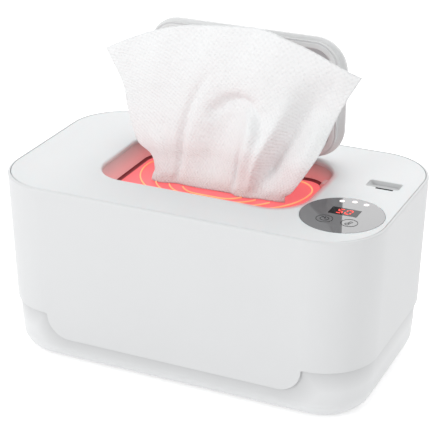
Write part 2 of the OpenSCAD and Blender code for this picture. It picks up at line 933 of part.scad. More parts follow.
// Round low-voltage inlet in the back wall
module power_inlet() {
    top = power_z + board_t;
    back = cy + face_r(inlet_z);
    color("#202124")
    difference() {
        union() {
            translate([inlet_x - 4.5, back - wall - ledge_w - 6, top])
                cube([9, ledge_w + 6, inlet_z - top + 4]);
            translate([inlet_x, back - wall - 1, inlet_z])
                rotate([-90, 0, 0])
                    cylinder(h = wall + 0.8, r = inlet_r, $fn = round_fn);
        }
        translate([inlet_x, back - 9, inlet_z])
            rotate([-90, 0, 0])
                cylinder(h = 12, r = 2.75, $fn = round_fn);
    }
}

// Channel that guides the latch bolt under the top panel
module latch_guide() {
    low = bolt_z - 1.5;
    color("#d9dadc")
    difference() {
        translate([step_x - 11, key_y - bolt_w / 2 - 1.6, low])
            cube([9, bolt_w + 3.2, panel_z - low - close_gap]);
        translate([step_x - 12, key_y - bolt_w / 2 - close_gap, bolt_z - close_gap])
            cube([11, bolt_w + 2 * close_gap, 10]);
    }
}

// Two steel pins of the lid hinge
module hinge_pins() {
    color("#b4b6b9")
    for (x = [-1, 1])
        translate([opening_x + x * (barrel_l / 2 - 1) - 6, hinge_y, hinge_z])
            rotate([0, 90, 0])
                cylinder(h = 12, r = pin_r, $fn = round_fn);
}

// The wipe that stands in the slot, with its folds taken together
module dispensed_wipe() {
    tall = body_h + wipe_rise - plate_z;
    half = wipe_w / 2;
    throat = slot_l / 2 - 1.2;
    tail_z = stack_z + stack_h + soft_gap;
    color("#fafbfb")
    translate([opening_x, 0, 0]) {
        translate([-throat, -slot_w / 2 + soft_gap, tail_z])
            cube([2 * throat, slot_w - 2 * soft_gap, plate_z + plate_t + 2.4 - tail_z]);
        translate([0, 0, plate_z + plate_t + 1])
            rotate([90 - wipe_lean, 0, 0])
                linear_extrude(wipe_t, center = true)
                    polygon([
                        [-throat, 0],
                        [throat, 0],
                        [throat + 5, tall * 0.1],
                        [half - 14, tall * 0.5],
                        [half, tall * 0.8],
                        [half - 40, tall * 0.94],
                        [0, tall - 2],
                        [-half * 0.55, tall * 0.92],
                        [-half * 0.93, tall * 0.78],
                        [-half * 0.74, tall * 0.42],
                        [-throat - 3, tall * 0.13]
                    ]);
    }
}

// Release key: a finger dish on top, a wedge foot and two stop tabs below
module release_key() {
    low = cap_z + flange_t;
    color("#dfe0e1") {
        difference() {
            union() {
                translate([key_x, key_y, 0])
                    slab(key_l, key_w, 1.2, cap_z, body_h - 0.1);
                translate([key_x - key_l / 2 - 1, key_y - 2.5, cap_z])
                    cube([key_l + 2, 5, panel_z - close_gap - cap_z]);
            }
            translate([key_x - key_l / 2 + 0.7, key_y - key_w / 2, body_h])
                rotate([90, 0, 90])
                    linear_extrude(key_l - 1.4)
                        polygon([
                            [0, -0.15],
                            [key_w - 1.2, -dish_depth],
                            [key_w - 0.6, -dish_depth + 0.5],
                            [key_w - 0.5, 1],
                            [0, 1]
                        ]);
        }
        translate([0, key_y + bolt_w / 2 - 0.8, 0])
            rotate([90, 0, 0])
                linear_extrude(bolt_w - 1.6)
                    polygon([
                        [wedge_tip - 2, wedge_z],
                        [wedge_tip, wedge_z],
                        [wedge_tip + cap_z - wedge_z, cap_z],
                        [wedge_tip + cap_z - wedge_z, low],
                        [wedge_tip - 2, low]
                    ]);
    }
}

// Spring under the release key, over a post of the divider plate
module key_spring() {
    low = divider_z + divider_t;
    color("#b9bbbe")
    translate([spring_x, key_y, low])
        difference() {
            cylinder(h = cap_z - low, r = key_spring_r, $fn = 32);
            translate([0, 0, -1])
                cylinder(h = 20, r = key_spring_r - 0.5, $fn = 32);
        }
}

// Latch bolt: a nose into the lid, a step down and a window with a sloped end for the wedge
module latch_bolt() {
    slope = wedge_tip - wedge_z + wedge_gap;
    top = bolt_z + bolt_t;
    color("#cfd1d4")
    translate([0, key_y + bolt_w / 2, 0])
        rotate([90, 0, 0])
            linear_extrude(bolt_w)
                polygon([
                    [nose_x, nose_z],
                    [nose_x + 1.2, nose_z + nose_t],
                    [step_x, nose_z + nose_t],
                    [step_x, top],
                    [wedge_tip - 2 - key_travel - 0.4, top],
                    [wedge_tip - 2 - key_travel - 0.4, bolt_z],
                    [step_x - 1.6, bolt_z],
                    [step_x - 1.6, nose_z]
                ]);
    color("#cfd1d4")
    translate([0, key_y + bolt_w / 2, 0])
        rotate([90, 0, 0])
            linear_extrude(bolt_w)
                polygon([
                    [bolt_z + slope, bolt_z],
                    [bolt_end, bolt_z],
                    [bolt_end, top],
                    [top + slope, top]
                ]);
    color("#cfd1d4")
    for (y = [-1, 1])
        translate([wedge_tip - 3 - key_travel, key_y + y * (bolt_w / 2 - 0.25) - 0.25, bolt_z])
            cube([bolt_end - wedge_tip + 3 + key_travel, 0.5, bolt_t]);
}

// Lid shell: skin, hollow plug and hinge barrel, with a pocket for the latch bolt
module lid_shell() {
    low = body_h - lid_depth;
    skin = body_h - lid_t;
    e = 0.8;
    color("#e9eaea")
    swing()
    difference() {
        union() {
            translate([opening_x, opening_y, 0]) {
                loft(concat(
                    [ring(lid_l, lid_w, lid_r, skin)],
                    [for (i = [0:4])
                        let (a = 90 * i / 4, cut = 2 * e * (1 - cos(a)))
                        ring(lid_l - cut, lid_w - cut, lid_r - cut / 2, body_h - e + e * sin(a))]
                ));
                difference() {
                    slab(plug_l, plug_w, plug_r, low, skin + 0.5);
                    slab(plug_l - 2 * plug_wall, plug_w - 2 * plug_wall, plug_r - plug_wall, low - 1, skin);
                }
            }
            translate([opening_x - barrel_l / 2, opening_y + lid_w / 2 - 4, skin])
                cube([barrel_l, hinge_y - opening_y - lid_w / 2 + 4, lid_t]);
            translate([opening_x - barrel_l / 2, hinge_y, hinge_z])
                rotate([0, 90, 0])
                    cylinder(h = barrel_l, r = barrel_r, $fn = fine);
        }
        translate([opening_x - barrel_l / 2 - 1, hinge_y, hinge_z])
            rotate([0, 90, 0])
                cylinder(h = barrel_l + 2, r = pin_r + pin_gap, $fn = round_fn);
        translate([opening_x - spring_room / 2, hinge_y - barrel_r - 0.6, skin - 5])
            cube([spring_room, 10, 10]);
        translate([nose_x - 0.4, key_y - bolt_w / 2 - 0.4, nose_z - 0.3])
            cube([5, bolt_w + 0.8, skin - nose_z - 0.5]);
        translate([opening_x, opening_y, 0])
            difference() {
                slab(plug_l + 4, plug_w + 4, plug_r + 2, low + 0.2, low + 0.2 + seal_t);
                slab(plug_l - 1.4, plug_w - 1.4, plug_r - 0.7, low, low + 2);
            }
    }
}

// Inner panel of the lid
module lid_liner() {
    skin = body_h - lid_t;
    color("#c2c3c5")
    swing()
    translate([opening_x, opening_y, 0])
        slab(plug_l - 2 * plug_wall - 0.2, plug_w - 2 * plug_wall - 0.2, plug_r - plug_wall - 0.1,
            skin - 1.3, skin - close_gap);
}

// Silicone lip round the lid's plug
module lid_seal() {
    low = body_h - lid_depth + 0.25;
    color("#cfd2d3")
    swing()
    translate([opening_x, opening_y, 0])
        difference() {
            slab(plug_l + 2 * seal_reach, plug_w + 2 * seal_reach, plug_r + seal_reach, low, low + seal_t - 0.1);
            slab(plug_l - 1.3, plug_w - 1.3, plug_r - 0.65, low - 1, low + 2);
        }
}

// Coil of the torsion spring between the hinge pins, with its leg on the lid
module lid_spring() {
    coil_r = 1.45;
    wire = 0.3;
    turns = 7;
    pitch = 1.1;
    sides = 8;
    per_turn = 14;
    count = turns * per_turn;
    length = turns * pitch;
    rows = [for (i = [0:count])
        let (a = 360 * i / per_turn, x = -length / 2 + pitch * i / per_turn)
        [for (k = [0:sides - 1])
            let (b = 360 * k / sides, r = coil_r + wire * cos(b))
            [x + wire * sin(b), r * cos(a), r * sin(a)]]];
    color("#a9abae")
    swing()
    translate([opening_x, hinge_y, hinge_z]) {
        polyhedron(
            points = [for (row = rows) each row],
            faces = concat(
                [[for (k = [sides - 1:-1:0]) k]],
                [[for (k = [0:sides - 1]) count * sides + k]],
                [for (i = [0:count - 1], k = [0:sides - 1])
                    let (a = i * sides + k, b = i * sides + (k + 1) % sides)
                    [a, b, b + sides, a + sides]]
            )
        );
    }
}

base_tray();
rubber_feet();
foam_pad();
wipe_tank();
tank_gasket();
wipe_stack();
upper_housing();
top_panel();
divider_plate();
case_screws();
heating_plate();
heating_wire();
insulating_sheet();
temperature_sensor();
thermal_fuse();
heater_leads();
control_disc();
display_window();
display_digits();
touch_icons();
light_pipes();
display_board();
display_module();
touch_springs();
display_ribbon();
power_board();
power_components();
power_inlet();
latch_guide();
hinge_pins();
dispensed_wipe();
release_key();
key_spring();
latch_bolt();
lid_shell();
lid_liner();
lid_seal();
lid_spring();
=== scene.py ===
import math
import random

import bmesh
import bpy
from mathutils import Matrix, Vector


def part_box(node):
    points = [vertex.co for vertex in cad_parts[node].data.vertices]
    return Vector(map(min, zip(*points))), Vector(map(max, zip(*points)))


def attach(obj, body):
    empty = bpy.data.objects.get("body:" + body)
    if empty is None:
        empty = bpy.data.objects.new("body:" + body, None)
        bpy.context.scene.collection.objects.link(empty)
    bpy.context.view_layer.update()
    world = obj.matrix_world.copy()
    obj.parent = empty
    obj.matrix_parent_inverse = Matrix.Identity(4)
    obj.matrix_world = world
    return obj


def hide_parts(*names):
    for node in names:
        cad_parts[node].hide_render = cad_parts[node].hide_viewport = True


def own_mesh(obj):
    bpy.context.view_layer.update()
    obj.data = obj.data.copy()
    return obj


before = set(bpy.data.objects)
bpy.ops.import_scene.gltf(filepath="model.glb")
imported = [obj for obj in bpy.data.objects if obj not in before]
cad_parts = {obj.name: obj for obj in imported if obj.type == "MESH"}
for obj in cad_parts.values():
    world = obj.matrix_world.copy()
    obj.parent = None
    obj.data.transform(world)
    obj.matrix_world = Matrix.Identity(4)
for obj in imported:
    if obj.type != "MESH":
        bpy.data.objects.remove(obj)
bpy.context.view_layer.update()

# Camera
# It stands in front of the warmer, to its right and above, behind a long lens.
# Its place and turn were found by laying the body's known outline over the picture.
camera_place = Vector((0.3039, -0.66807, 0.40956))
camera_azimuth = math.radians(24.57)
camera_elevation = math.radians(24.4)
camera_roll = math.radians(0.11)
backwards = Vector((
    math.sin(camera_azimuth) * math.cos(camera_elevation),
    -math.cos(camera_azimuth) * math.cos(camera_elevation),
    math.sin(camera_elevation)))
level = Vector((math.cos(camera_azimuth), math.sin(camera_azimuth), 0))
rightwards = math.cos(camera_roll) * level + math.sin(camera_roll) * backwards.cross(level)
upwards = backwards.cross(rightwards)
lens = bpy.data.cameras.new("camera")
lens.sensor_width = 36
lens.lens = 126.13
lens.clip_end = 20
camera = bpy.data.objects.new("camera", lens)


def standing(place, side, up, facing):
    """The matrix of a thing that stands at a place, from the ways of its three axes."""
    return Matrix.Translation(place) @ Matrix((side, up, facing)).transposed().to_4x4()


camera.matrix_world = standing(camera_place, rightwards, upwards, backwards)
bpy.context.collection.objects.link(camera)
bpy.context.scene.camera = camera

# Housing
# The outer shell is moulded ABS, satin white, with a fine spark-eroded grain. It has a thin
# rim round the top panel, and an apron in front and behind that hangs over the base.
mm = 0.001
half_length, half_width, body_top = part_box("upper_housing")[1]
corner_radius = 31.7 * mm
corner_x = half_length - corner_radius
corner_y = half_width - corner_radius
draft = 3 * mm
split = 30 * mm
housing_wall = 2.4 * mm
rim_width = 1.4 * mm
rim_round = 1.1 * mm
edge_break = 0.12 * mm
ledge_height = 100.2 * mm
ledge_reach = 5 * mm
ledge_thickness = 2.6 * mm
wall_top = 95 * mm
apron_half = 72.7 * mm
apron_bottom = 16.3 * mm
apron_radius = 13 * mm
apron_wall = 1.1 * mm
shell_edge = 0.45 * mm


def linear(hex_colour):
    """Turns an sRGB hex colour into the linear colour that a shader takes."""
    parts = [int(hex_colour[i:i + 2], 16) / 255 for i in (1, 3, 5)]
    return [p / 12.92 if p <= 0.04045 else ((p + 0.055) / 1.055) ** 2.4 for p in parts] + [1]


def add(tree, kind, settings=None, **options):
    """Adds a node. A setting is a node or a socket to link from, or a value for that input."""
    node = tree.nodes.new("ShaderNode" + kind)
    for name, value in options.items():
        setattr(node, name, value)
    for name, value in (settings or {}).items():
        if isinstance(value, bpy.types.Node):
            value = value.outputs[0]
        if isinstance(value, bpy.types.NodeSocket):
            tree.links.new(value, node.inputs[name])
        else:
            node.inputs[name].default_value = value
    return node


def start_material(name):
    """A new material and its node tree, which is empty."""
    material = bpy.data.materials.new(name)
    material.use_nodes = True
    material.node_tree.nodes.clear()
    return material, material.node_tree


def set_stops(ramp, first, second):
    """Sets the two colours of a colour ramp."""
    ramp.color_ramp.elements[0].color = first
    ramp.color_ramp.elements[1].color = second


def satin_abs(name, colour, roughness=0.42, depth=0.0):
    """Moulded ABS: a soft highlight, broken up by grain, with a faint unevenness of tone."""
    material, tree = start_material(name)
    place = add(tree, "TexCoord").outputs["Object"]
    # The real grain is about 0.1 mm. It is drawn at 0.6 mm, so that it shows in the render.
    grain = add(tree, "TexNoise", {"Vector": place, "Scale": 1 / (0.6 * mm), "Detail": 3})
    flow = add(tree, "TexNoise", {"Vector": place, "Scale": 1 / (40 * mm), "Detail": 2})
    tone = add(tree, "ValToRGB", {"Fac": flow})
    set_stops(tone, [c * 0.97 for c in linear(colour)[:3]] + [1], linear(colour))
    gloss = add(tree, "MapRange", {"Value": grain, "To Min": roughness - 0.05,
                                   "To Max": roughness + 0.06})
    bump = add(tree, "Bump", {"Height": grain, "Strength": 0.12, "Distance": 0.05 * mm})
    shader = add(tree, "BsdfPrincipled", {
        "Base Color": tone, "Roughness": gloss, "IOR": 1.53,
        "Subsurface Weight": depth, "Subsurface Radius": (1.0, 0.55, 0.5), "Subsurface Scale": 5 * mm,
        "Normal": bump})
    add(tree, "OutputMaterial", {"Surface": shader})
    return material


def leaned(height):
    """How far the draft has brought the face in at a height."""
    return draft * (body_top - height) / body_top


def quarter_turn(steps, first=0):
    """The sine and cosine at each step of a turn from 0 to 90 degrees."""
    angles = [math.radians(90 * i / steps) for i in range(first, steps + 1)]
    return [(math.sin(angle), math.cos(angle)) for angle in angles]


def outline(inset, height, corner_steps=20, flat_steps=10):
    """Points of the body's plan at a height, moved in by an inset, from the right-hand side on."""
    radius = corner_radius - inset
    near = 1.5 * mm
    points = []
    for turn, x, y, flat in ((0, 1, 1, corner_x), (90, -1, 1, corner_y),
                             (180, -1, -1, corner_x), (270, 1, -1, corner_y)):
        for i in range(corner_steps + 1):
            angle = math.radians(turn + 90 * i / corner_steps)
            points.append(Vector((x * corner_x + radius * math.cos(angle),
                                  y * corner_y + radius * math.sin(angle), height)))
        way = Vector((-math.sin(math.radians(turn + 90)), math.cos(math.radians(turn + 90)), 0))
        for i in range(flat_steps + 1):
            along = near + (2 * flat - 2 * near) * i / flat_steps
            points.append(points[-1 - i] + way * along)
    return points


def ring(mesh, points):
    """Adds a row of points to a mesh."""
    return [mesh.verts.new(p) for p in points]


def sew(mesh, rows, capped=False):
    """Joins rows of points, each a closed ring, with strips of faces. Caps close both ends."""
    for low, high in zip(rows, rows[1:]):
        for i in range(len(low)):
            j = (i + 1) % len(low)
            mesh.faces.new((low[i], low[j], high[j], high[i]))
    if capped:
        mesh.faces.new(rows[0])
        mesh.faces.new(rows[-1])


def mark_sharp(mesh, sharp):
    """Marks the edges of a mesh that turn by more than an angle."""
    for edge in mesh.edges:
        if len(edge.link_faces) == 2 and edge.calc_face_angle(0) > math.radians(sharp):
            edge.smooth = False


def make_piece(name, mesh, material, body, nodes=(), sharp=32, turn=None):
    """Turns a mesh into a smooth piece with sharp edges, which rides on a body."""
    bmesh.ops.remove_doubles(mesh, verts=mesh.verts, dist=0.002 * mm)
    bmesh.ops.dissolve_degenerate(mesh, edges=mesh.edges, dist=0.001 * mm)
    bmesh.ops.recalc_face_normals(mesh, faces=mesh.faces)
    if turn is not None:
        bmesh.ops.transform(mesh, matrix=turn, verts=mesh.verts)
    for face in mesh.faces:
        face.smooth = True
    mark_sharp(mesh, sharp)
    data = bpy.data.meshes.new(name)
    mesh.to_mesh(data)
    mesh.free()
    data.materials.append(material)
    piece = bpy.data.objects.new(name, data)
    bpy.context.collection.objects.link(piece)
    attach(piece, body)
    if nodes:
        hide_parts(*nodes)
    return piece


def carve(piece, cutter, sharp):
    """Cuts the shape of a mesh out of a piece."""
    bmesh.ops.recalc_face_normals(cutter, faces=cutter.faces)
    data = bpy.data.meshes.new("cutter")
    cutter.to_mesh(data)
    cutter.free()
    tool = bpy.data.objects.new("cutter", data)
    bpy.context.collection.objects.link(tool)
    cut = piece.modifiers.new("cut", "BOOLEAN")
    cut.object = tool
    cut.solver = "EXACT"
    bpy.context.view_layer.update()
    shape = bmesh.new()
    shape.from_object(piece, bpy.context.evaluated_depsgraph_get())
    piece.modifiers.clear()
    mark_sharp(shape, sharp)
    shape.to_mesh(piece.data)
    shape.free()
    bpy.data.objects.remove(tool)
    bpy.data.meshes.remove(data)


def even_shading(piece):
    """Keeps flat faces evenly lit beside their rounded edges."""
    normals = piece.modifiers.new("even shading", "WEIGHTED_NORMAL")
    normals.keep_sharp = True
    normals.weight = 80


def block(mesh, low, high, turn=None):
    """Adds a block between two corners to a mesh."""
    low, high = Vector(low), Vector(high)
    place = Matrix.Translation((low + high) / 2) @ Matrix.Diagonal((*(high - low), 1))
    bmesh.ops.create_cube(mesh, size=1, matrix=place if turn is None else turn @ place)


def apron_edge(steps=14):
    """The lower edge of the right half of the front: x, height and the way inwards."""
    joint = 1.6 * mm
    edge = [(0.0, apron_bottom, (0, 1))]
    middle = apron_half - apron_radius
    edge += [(middle * i / 8, apron_bottom, (0, 1)) for i in range(1, 8)]
    for sine, cosine in quarter_turn(steps):
        edge.append((middle + apron_radius * sine, apron_bottom + apron_radius * (1 - cosine),
                     (-sine, cosine)))
    rise = split - apron_bottom - apron_radius
    for sine, cosine in quarter_turn(6):
        edge.append((apron_half + joint * (1 - cosine),
                     apron_bottom + apron_radius + rise * 0.2 + rise * 0.8 * sine, (-cosine, sine)))
    return edge


def wall_point(along, inset, height):
    """A point on the shell, given the way along its top outline from the middle of the front."""
    radius = corner_radius - inset
    if along <= corner_x:
        return Vector((along, -corner_y - radius, height))
    if along >= corner_x + corner_radius * math.pi / 2:
        past = along - corner_x - corner_radius * math.pi / 2
        return Vector((corner_x + radius, past - corner_y, height))
    angle = (along - corner_x) / corner_radius
    return Vector((corner_x + radius * math.sin(angle), -corner_y - radius * math.cos(angle), height))


shell_edge_points = apron_edge()
# On from the apron the edge runs level, to the middle of the right-hand side
quarter = corner_x + corner_radius * math.pi / 2 + corner_y
first = shell_edge_points[-1][0]
for i in range(1, 27):
    shell_edge_points.append((first + (quarter - first) * i / 26, split, (0, 1)))

columns = []
for along, low, inwards in shell_edge_points:
    wall = apron_wall if low < split - 0.5 * mm else housing_wall
    column = []
    for sine, cosine in quarter_turn(4):
        up = shell_edge * (1 - sine)
        deep = shell_edge * (1 - cosine)
        height = low + inwards[1] * up
        column.insert(0, wall_point(along + inwards[0] * up, leaned(height) + deep, height))
    start = column[-1].z
    stop = body_top - rim_round
    where = along + inwards[0] * shell_edge
    for i in range(1, 15):
        height = start + (stop - start) * i / 14
        column.append(wall_point(where, leaned(height), height))
    for sine, cosine in quarter_turn(6, 1):
        column.append(wall_point(where, rim_round * (1 - cosine), stop + rim_round * sine))
    bottom = low + inwards[1] * shell_edge
    for inset, height in (
            (rim_width - edge_break, body_top), (rim_width, body_top - edge_break),
            (rim_width, ledge_height), (ledge_reach, ledge_height),
            (ledge_reach, ledge_height - ledge_thickness), (housing_wall + leaned(wall_top), wall_top),
            (housing_wall + leaned(split), split), (wall + leaned(split), split),
            (wall + leaned(bottom), bottom)):
        column.append(wall_point(where, inset, height))
    columns.append(column)

mesh = bmesh.new()
for flip_x, flip_y in ((1, 1), (-1, 1), (-1, -1), (1, -1)):
    grid = [[mesh.verts.new((p.x * flip_x, p.y * flip_y, p.z)) for p in column] for column in columns]
    for one, other in zip(grid, grid[1:]):
        for i in range(len(one)):
            j = (i + 1) % len(one)
            mesh.faces.new((one[i], other[i], other[j], one[j]))
housing_plastic = satin_abs("satin_white_abs", "#DBDCDD", 0.45)
housing = make_piece("housing_shell", mesh, housing_plastic, "housing", ["upper_housing"], sharp=38)

# The round hole for the inlet in the back wall
inlet_place = Vector((68 * mm, half_width, 95 * mm))
inlet_hole = 3.7 * mm
cutter = bmesh.new()
bmesh.ops.create_cone(
    cutter, cap_ends=True, segments=48, radius1=inlet_hole, radius2=inlet_hole, depth=12 * mm,
    matrix=Matrix.Translation(inlet_place) @ Matrix.Rotation(math.pi / 2, 4, "X"))
carve(housing, cutter, sharp=38)
even_shading(housing)


# Base
# The base is moulded ABS too, a shade milkier than the housing. Its large lower fillet is
# smooth, and a spigot stands above its shoulder, over which the housing slips.
base_step = 1.3 * mm
base_lift = 0.8 * mm
base_fillet = 10.4 * mm
base_wall = 2.4 * mm
shoulder = split - 0.1 * mm
spigot_top = split + 6 * mm
spigot_inset = housing_wall + 0.35 * mm
spigot_wall = 1.8 * mm
shoulder_round = 0.5 * mm
spigot_break = 0.3 * mm


def tub(fillet_inset, fillet, low, rows, fillet_steps=16):
    """Insets and heights of a tub's side, from the flat of its bottom up."""
    return [(fillet_inset + fillet * (1 - sine), low + fillet * (1 - cosine))
            for sine, cosine in quarter_turn(fillet_steps)] + rows


base_outside = tub(leaned(base_lift) + base_step, base_fillet, base_lift, [
    (leaned(20 * mm) + base_step, 20 * mm),
    (leaned(shoulder) + base_step, shoulder - shoulder_round),
    (leaned(shoulder) + base_step + 0.15 * mm, shoulder - 0.15 * mm),
    (leaned(shoulder) + base_step + shoulder_round, shoulder),
    (leaned(shoulder) + spigot_inset, shoulder),
    (leaned(spigot_top) + spigot_inset, spigot_top - spigot_break),
    (leaned(spigot_top) + spigot_inset + spigot_break, spigot_top)])
inner_step = base_step + base_wall
base_inside = tub(leaned(base_lift) + inner_step, base_fillet - base_wall, base_lift + base_wall, [
    (leaned(shoulder - 2 * mm) + inner_step, shoulder - 2 * mm),
    (leaned(shoulder) + spigot_inset + spigot_wall, shoulder),
    (leaned(split) + spigot_inset + spigot_wall, spigot_top - spigot_break),
    (leaned(split) + spigot_inset + spigot_wall - spigot_break, spigot_top)])
mesh = bmesh.new()
outside = [ring(mesh, outline(inset, height)) for inset, height in base_outside]
inside = [ring(mesh, outline(inset, height)) for inset, height in base_inside]
sew(mesh, outside)
sew(mesh, inside)
sew(mesh, [outside[-1], inside[-1]])
mesh.faces.new(outside[0])
mesh.faces.new(inside[0])


def beyond(tree, middle, straight):
    """How far a point lies beyond the straight part of a rounded box round a middle."""
    way = add(tree, "TexCoord").outputs["Object"]
    for operation, other in (("SUBTRACT", middle), ("ABSOLUTE", (0, 0, 0)),
                             ("SUBTRACT", straight), ("MAXIMUM", (0, 0, 0))):
        way = add(tree, "VectorMath", {0: way, 1: other}, operation=operation)
    return add(tree, "VectorMath", {0: way}, operation="LENGTH").outputs["Value"]


def shader_of(material):
    """The principled shader of a material."""
    return next(node for node in material.node_tree.nodes if node.type == "BSDF_PRINCIPLED")


def multiply_colour(material, factor):
    """Multiplies the base colour of a material by what a node gives."""
    base_colour = shader_of(material).inputs["Base Color"]
    product = add(material.node_tree, "VectorMath", {0: base_colour.links[0].from_socket, 1: factor},
                  operation="MULTIPLY")
    material.node_tree.links.new(product.outputs[0], base_colour)


base_plastic = satin_abs("milky_white_abs", "#DEDFE0", 0.4)
# Painted shade: the strip under the housing's edge and its aprons is made darker in colour,
# darkest at the joint
tree = base_plastic.node_tree
tall = 100 * mm
apron_reach = beyond(tree, (0, 0, apron_bottom + apron_radius + tall),
                     (apron_half - apron_radius, 1, tall))
shell_reach = beyond(tree, (0, 0, split + tall), (1, 1, tall))
apron_gap = add(tree, "Math", {0: apron_reach, 1: apron_radius}, operation="SUBTRACT")
joint_gap = add(tree, "Math", {0: apron_gap, 1: shell_reach}, operation="MINIMUM")
shade = add(tree, "MapRange", {"Value": joint_gap, "From Max": 12 * mm,
                               "To Min": 0.82, "To Max": 1.04})
# Painted light: the fillet is made lighter towards the bottom, where the pale ground throws light up on
# it
low_reach = beyond(tree, (0, 0, base_lift + base_fillet + tall), (1, 1, tall))
bounce = add(tree, "MapRange", {"Value": low_reach, "From Max": base_fillet,
                                "To Min": 1.0, "To Max": 1.2})
shade = add(tree, "Math", {0: shade, 1: bounce},
            operation="MULTIPLY")
multiply_colour(base_plastic, shade)
base = make_piece("base_shell", mesh, base_plastic, "base", ["base_tray"])
even_shading(base)


# Top panel and well
# One satin white moulding: a flat plate set inside the rim, with round holes for the controls,
# and a funnel down to the heated floor. It lets a little light through; its red glow is painted.
panel_bottom = body_top - 2.4 * mm
panel_inset = rim_width + 0.32 * mm
opening_x = -0.9 * mm
opening_y = 0.94 * mm
opening_length = 116.4 * mm
opening_width = 68 * mm
opening_radius = 18.7 * mm
opening_round = 1.2 * mm
well_length = 105.6 * mm
well_width = 63 * mm
well_radius = 12.5 * mm
well_foot = body_top - 10 * mm
well_wall = 1.8 * mm
hinge_y = 37.2 * mm
barrel_radius = 2 * mm
barrel_half = 22 * mm
barrel_gap = 0.3 * mm
disc_centre = Vector((79.5 * mm, -26.4 * mm, 0))
disc_hole = 21.35 * mm
key_centre = Vector((86.3 * mm, 18.2 * mm, 0))
key_length = 17 * mm
key_width = 8.2 * mm
key_gap = 0.5 * mm
slot_centre = Vector((88 * mm, 12.75 * mm, 0))
slot_length = 9.4 * mm
slot_width = 1.5 * mm


def rounded_loop(centre, length, width, radius, height=0.0, steps=12, notch=()):
    """Points of a rounded rectangle. A notch is a list of points set into its far side."""
    points = []
    for turn, x, y in ((0, 1, 1), (90, -1, 1), (180, -1, -1), (270, 1, -1)):
        for i in range(steps + 1):
            angle = math.radians(turn + 90 * i / steps)
            points.append(Vector((
                centre[0] + x * (length / 2 - radius) + radius * math.cos(angle),
                centre[1] + y * (width / 2 - radius) + radius * math.sin(angle), height)))
        if turn == 0:
            points += [Vector((x, y, height)) for x, y in notch]
    return points


def round_loop(centre, radius, steps=72):
    """Points of a circle."""
    return [Vector((centre[0] + radius * math.cos(2 * math.pi * i / steps),
                    centre[1] + radius * math.sin(2 * math.pi * i / steps), 0)) for i in range(steps)]


def grown(loop, distance, height):
    """A loop moved outwards by a distance, at another height."""
    points = []
    for i, point in enumerate(loop):
        before = point - loop[i - 1]
        after = loop[(i + 1) % len(loop)] - point
        before.z = after.z = 0
        if before.length < 1e-9:
            before = after
        if after.length < 1e-9:
            after = before
        before.normalize()
        after.normalize()
        side = Vector((before.y + after.y, -before.x - after.x, 0))
        side.normalize()
        stretch = 1 / max(0.5, side.dot(Vector((before.y, -before.x, 0))))
        points.append(Vector((point.x, point.y, height)) + side * distance * stretch)
    return points


back_edge = opening_y + opening_width / 2
notch_back = hinge_y + barrel_radius + 0.15 * mm
notch_half = barrel_half + barrel_gap
notch = [(opening_x + notch_half, back_edge), (opening_x + notch_half, notch_back),
         (opening_x - notch_half, notch_back), (opening_x - notch_half, back_edge)]
opening_loop = rounded_loop((opening_x, opening_y), opening_length, opening_width, opening_radius,
                            steps=20, notch=notch)
panel_edge = outline(panel_inset, body_top)
panel_round = 0.35 * mm
recess = body_top - 1.7 * mm
recess_hole = -2.55 * mm
# Each hole: its outline, the width and depth of its rounded edge, and the steps below it
holes = [
    (opening_loop, opening_round, opening_round, []),
    (round_loop(disc_centre, disc_hole), 0.15 * mm, 0.15 * mm, [(0, recess), (recess_hole, recess)]),
    (rounded_loop(key_centre, key_length + key_gap, key_width + key_gap, 1.4 * mm),
     panel_round, panel_round, []),
    (rounded_loop(slot_centre, slot_length, slot_width, 0.3 * mm, steps=4), 0.12 * mm, 0.12 * mm, []),
]
mesh = bmesh.new()
edge_rows = [ring(mesh, grown(panel_edge, distance, height)) for distance, height in (
    (0, panel_bottom), (0, body_top - panel_round), (-0.1 * mm, body_top - 0.1 * mm),
    (-panel_round, body_top))]
sew(mesh, edge_rows)
bottom_rings = [edge_rows[0]]
top_rings = [edge_rows[-1]]
for loop, radius, depth, steps in holes:
    rows = []
    for sine, cosine in quarter_turn(6):
        rows.append(ring(mesh, grown(loop, radius * (1 - sine), body_top - depth * (1 - cosine))))
    last = 0.0
    for distance, height in steps:
        rows.append(ring(mesh, grown(loop, distance, height)))
        last = distance
    rows.append(ring(mesh, grown(loop, last, panel_bottom)))
    sew(mesh, rows)
    top_rings.append(rows[0])
    bottom_rings.append(rows[-1])
for rings in (top_rings, bottom_rings):
    edges = []
    for loop in rings:
        edges += [mesh.edges.get((loop[i], loop[(i + 1) % len(loop)])) for i in range(len(loop))]
    bmesh.ops.triangle_fill(mesh, use_beauty=True, edges=[e for e in edges if e])
panel_plastic = satin_abs("satin_white_panel_abs", "#DFE0E1", 0.4, 0.3)
# Painted glow: the thin lip on the side that the wipe leaves open is tinted red, for the heater's light
# showing through it
tree = panel_plastic.node_tree
lip_reach = beyond(tree, (opening_x, opening_y, 0),
                   (opening_length / 2 - opening_radius, opening_width / 2 - opening_radius, 1))
way = add(tree, "SeparateXYZ", {"Vector": add(tree, "TexCoord").outputs["Object"]})
amount = 1.0
for value, nothing, full in ((lip_reach, opening_radius + 4.5 * mm, opening_radius),
                             (way.outputs["X"], 15 * mm, 50 * mm),
                             (way.outputs["Y"], 28 * mm, 8 * mm)):
    near = add(tree, "MapRange", {"Value": value, "From Min": nothing, "From Max": full},
               interpolation_type="SMOOTHSTEP")
    amount = add(tree, "Math", {0: amount, 1: near}, operation="MULTIPLY")
tint = add(tree, "ValToRGB", {"Fac": amount})
set_stops(tint, (1, 1, 1, 1), linear("#FF9C9E"))
multiply_colour(panel_plastic, tint)
panel = make_piece("panel_plate", mesh, panel_plastic, "housing", ["top_panel"], sharp=30)
even_shading(panel)
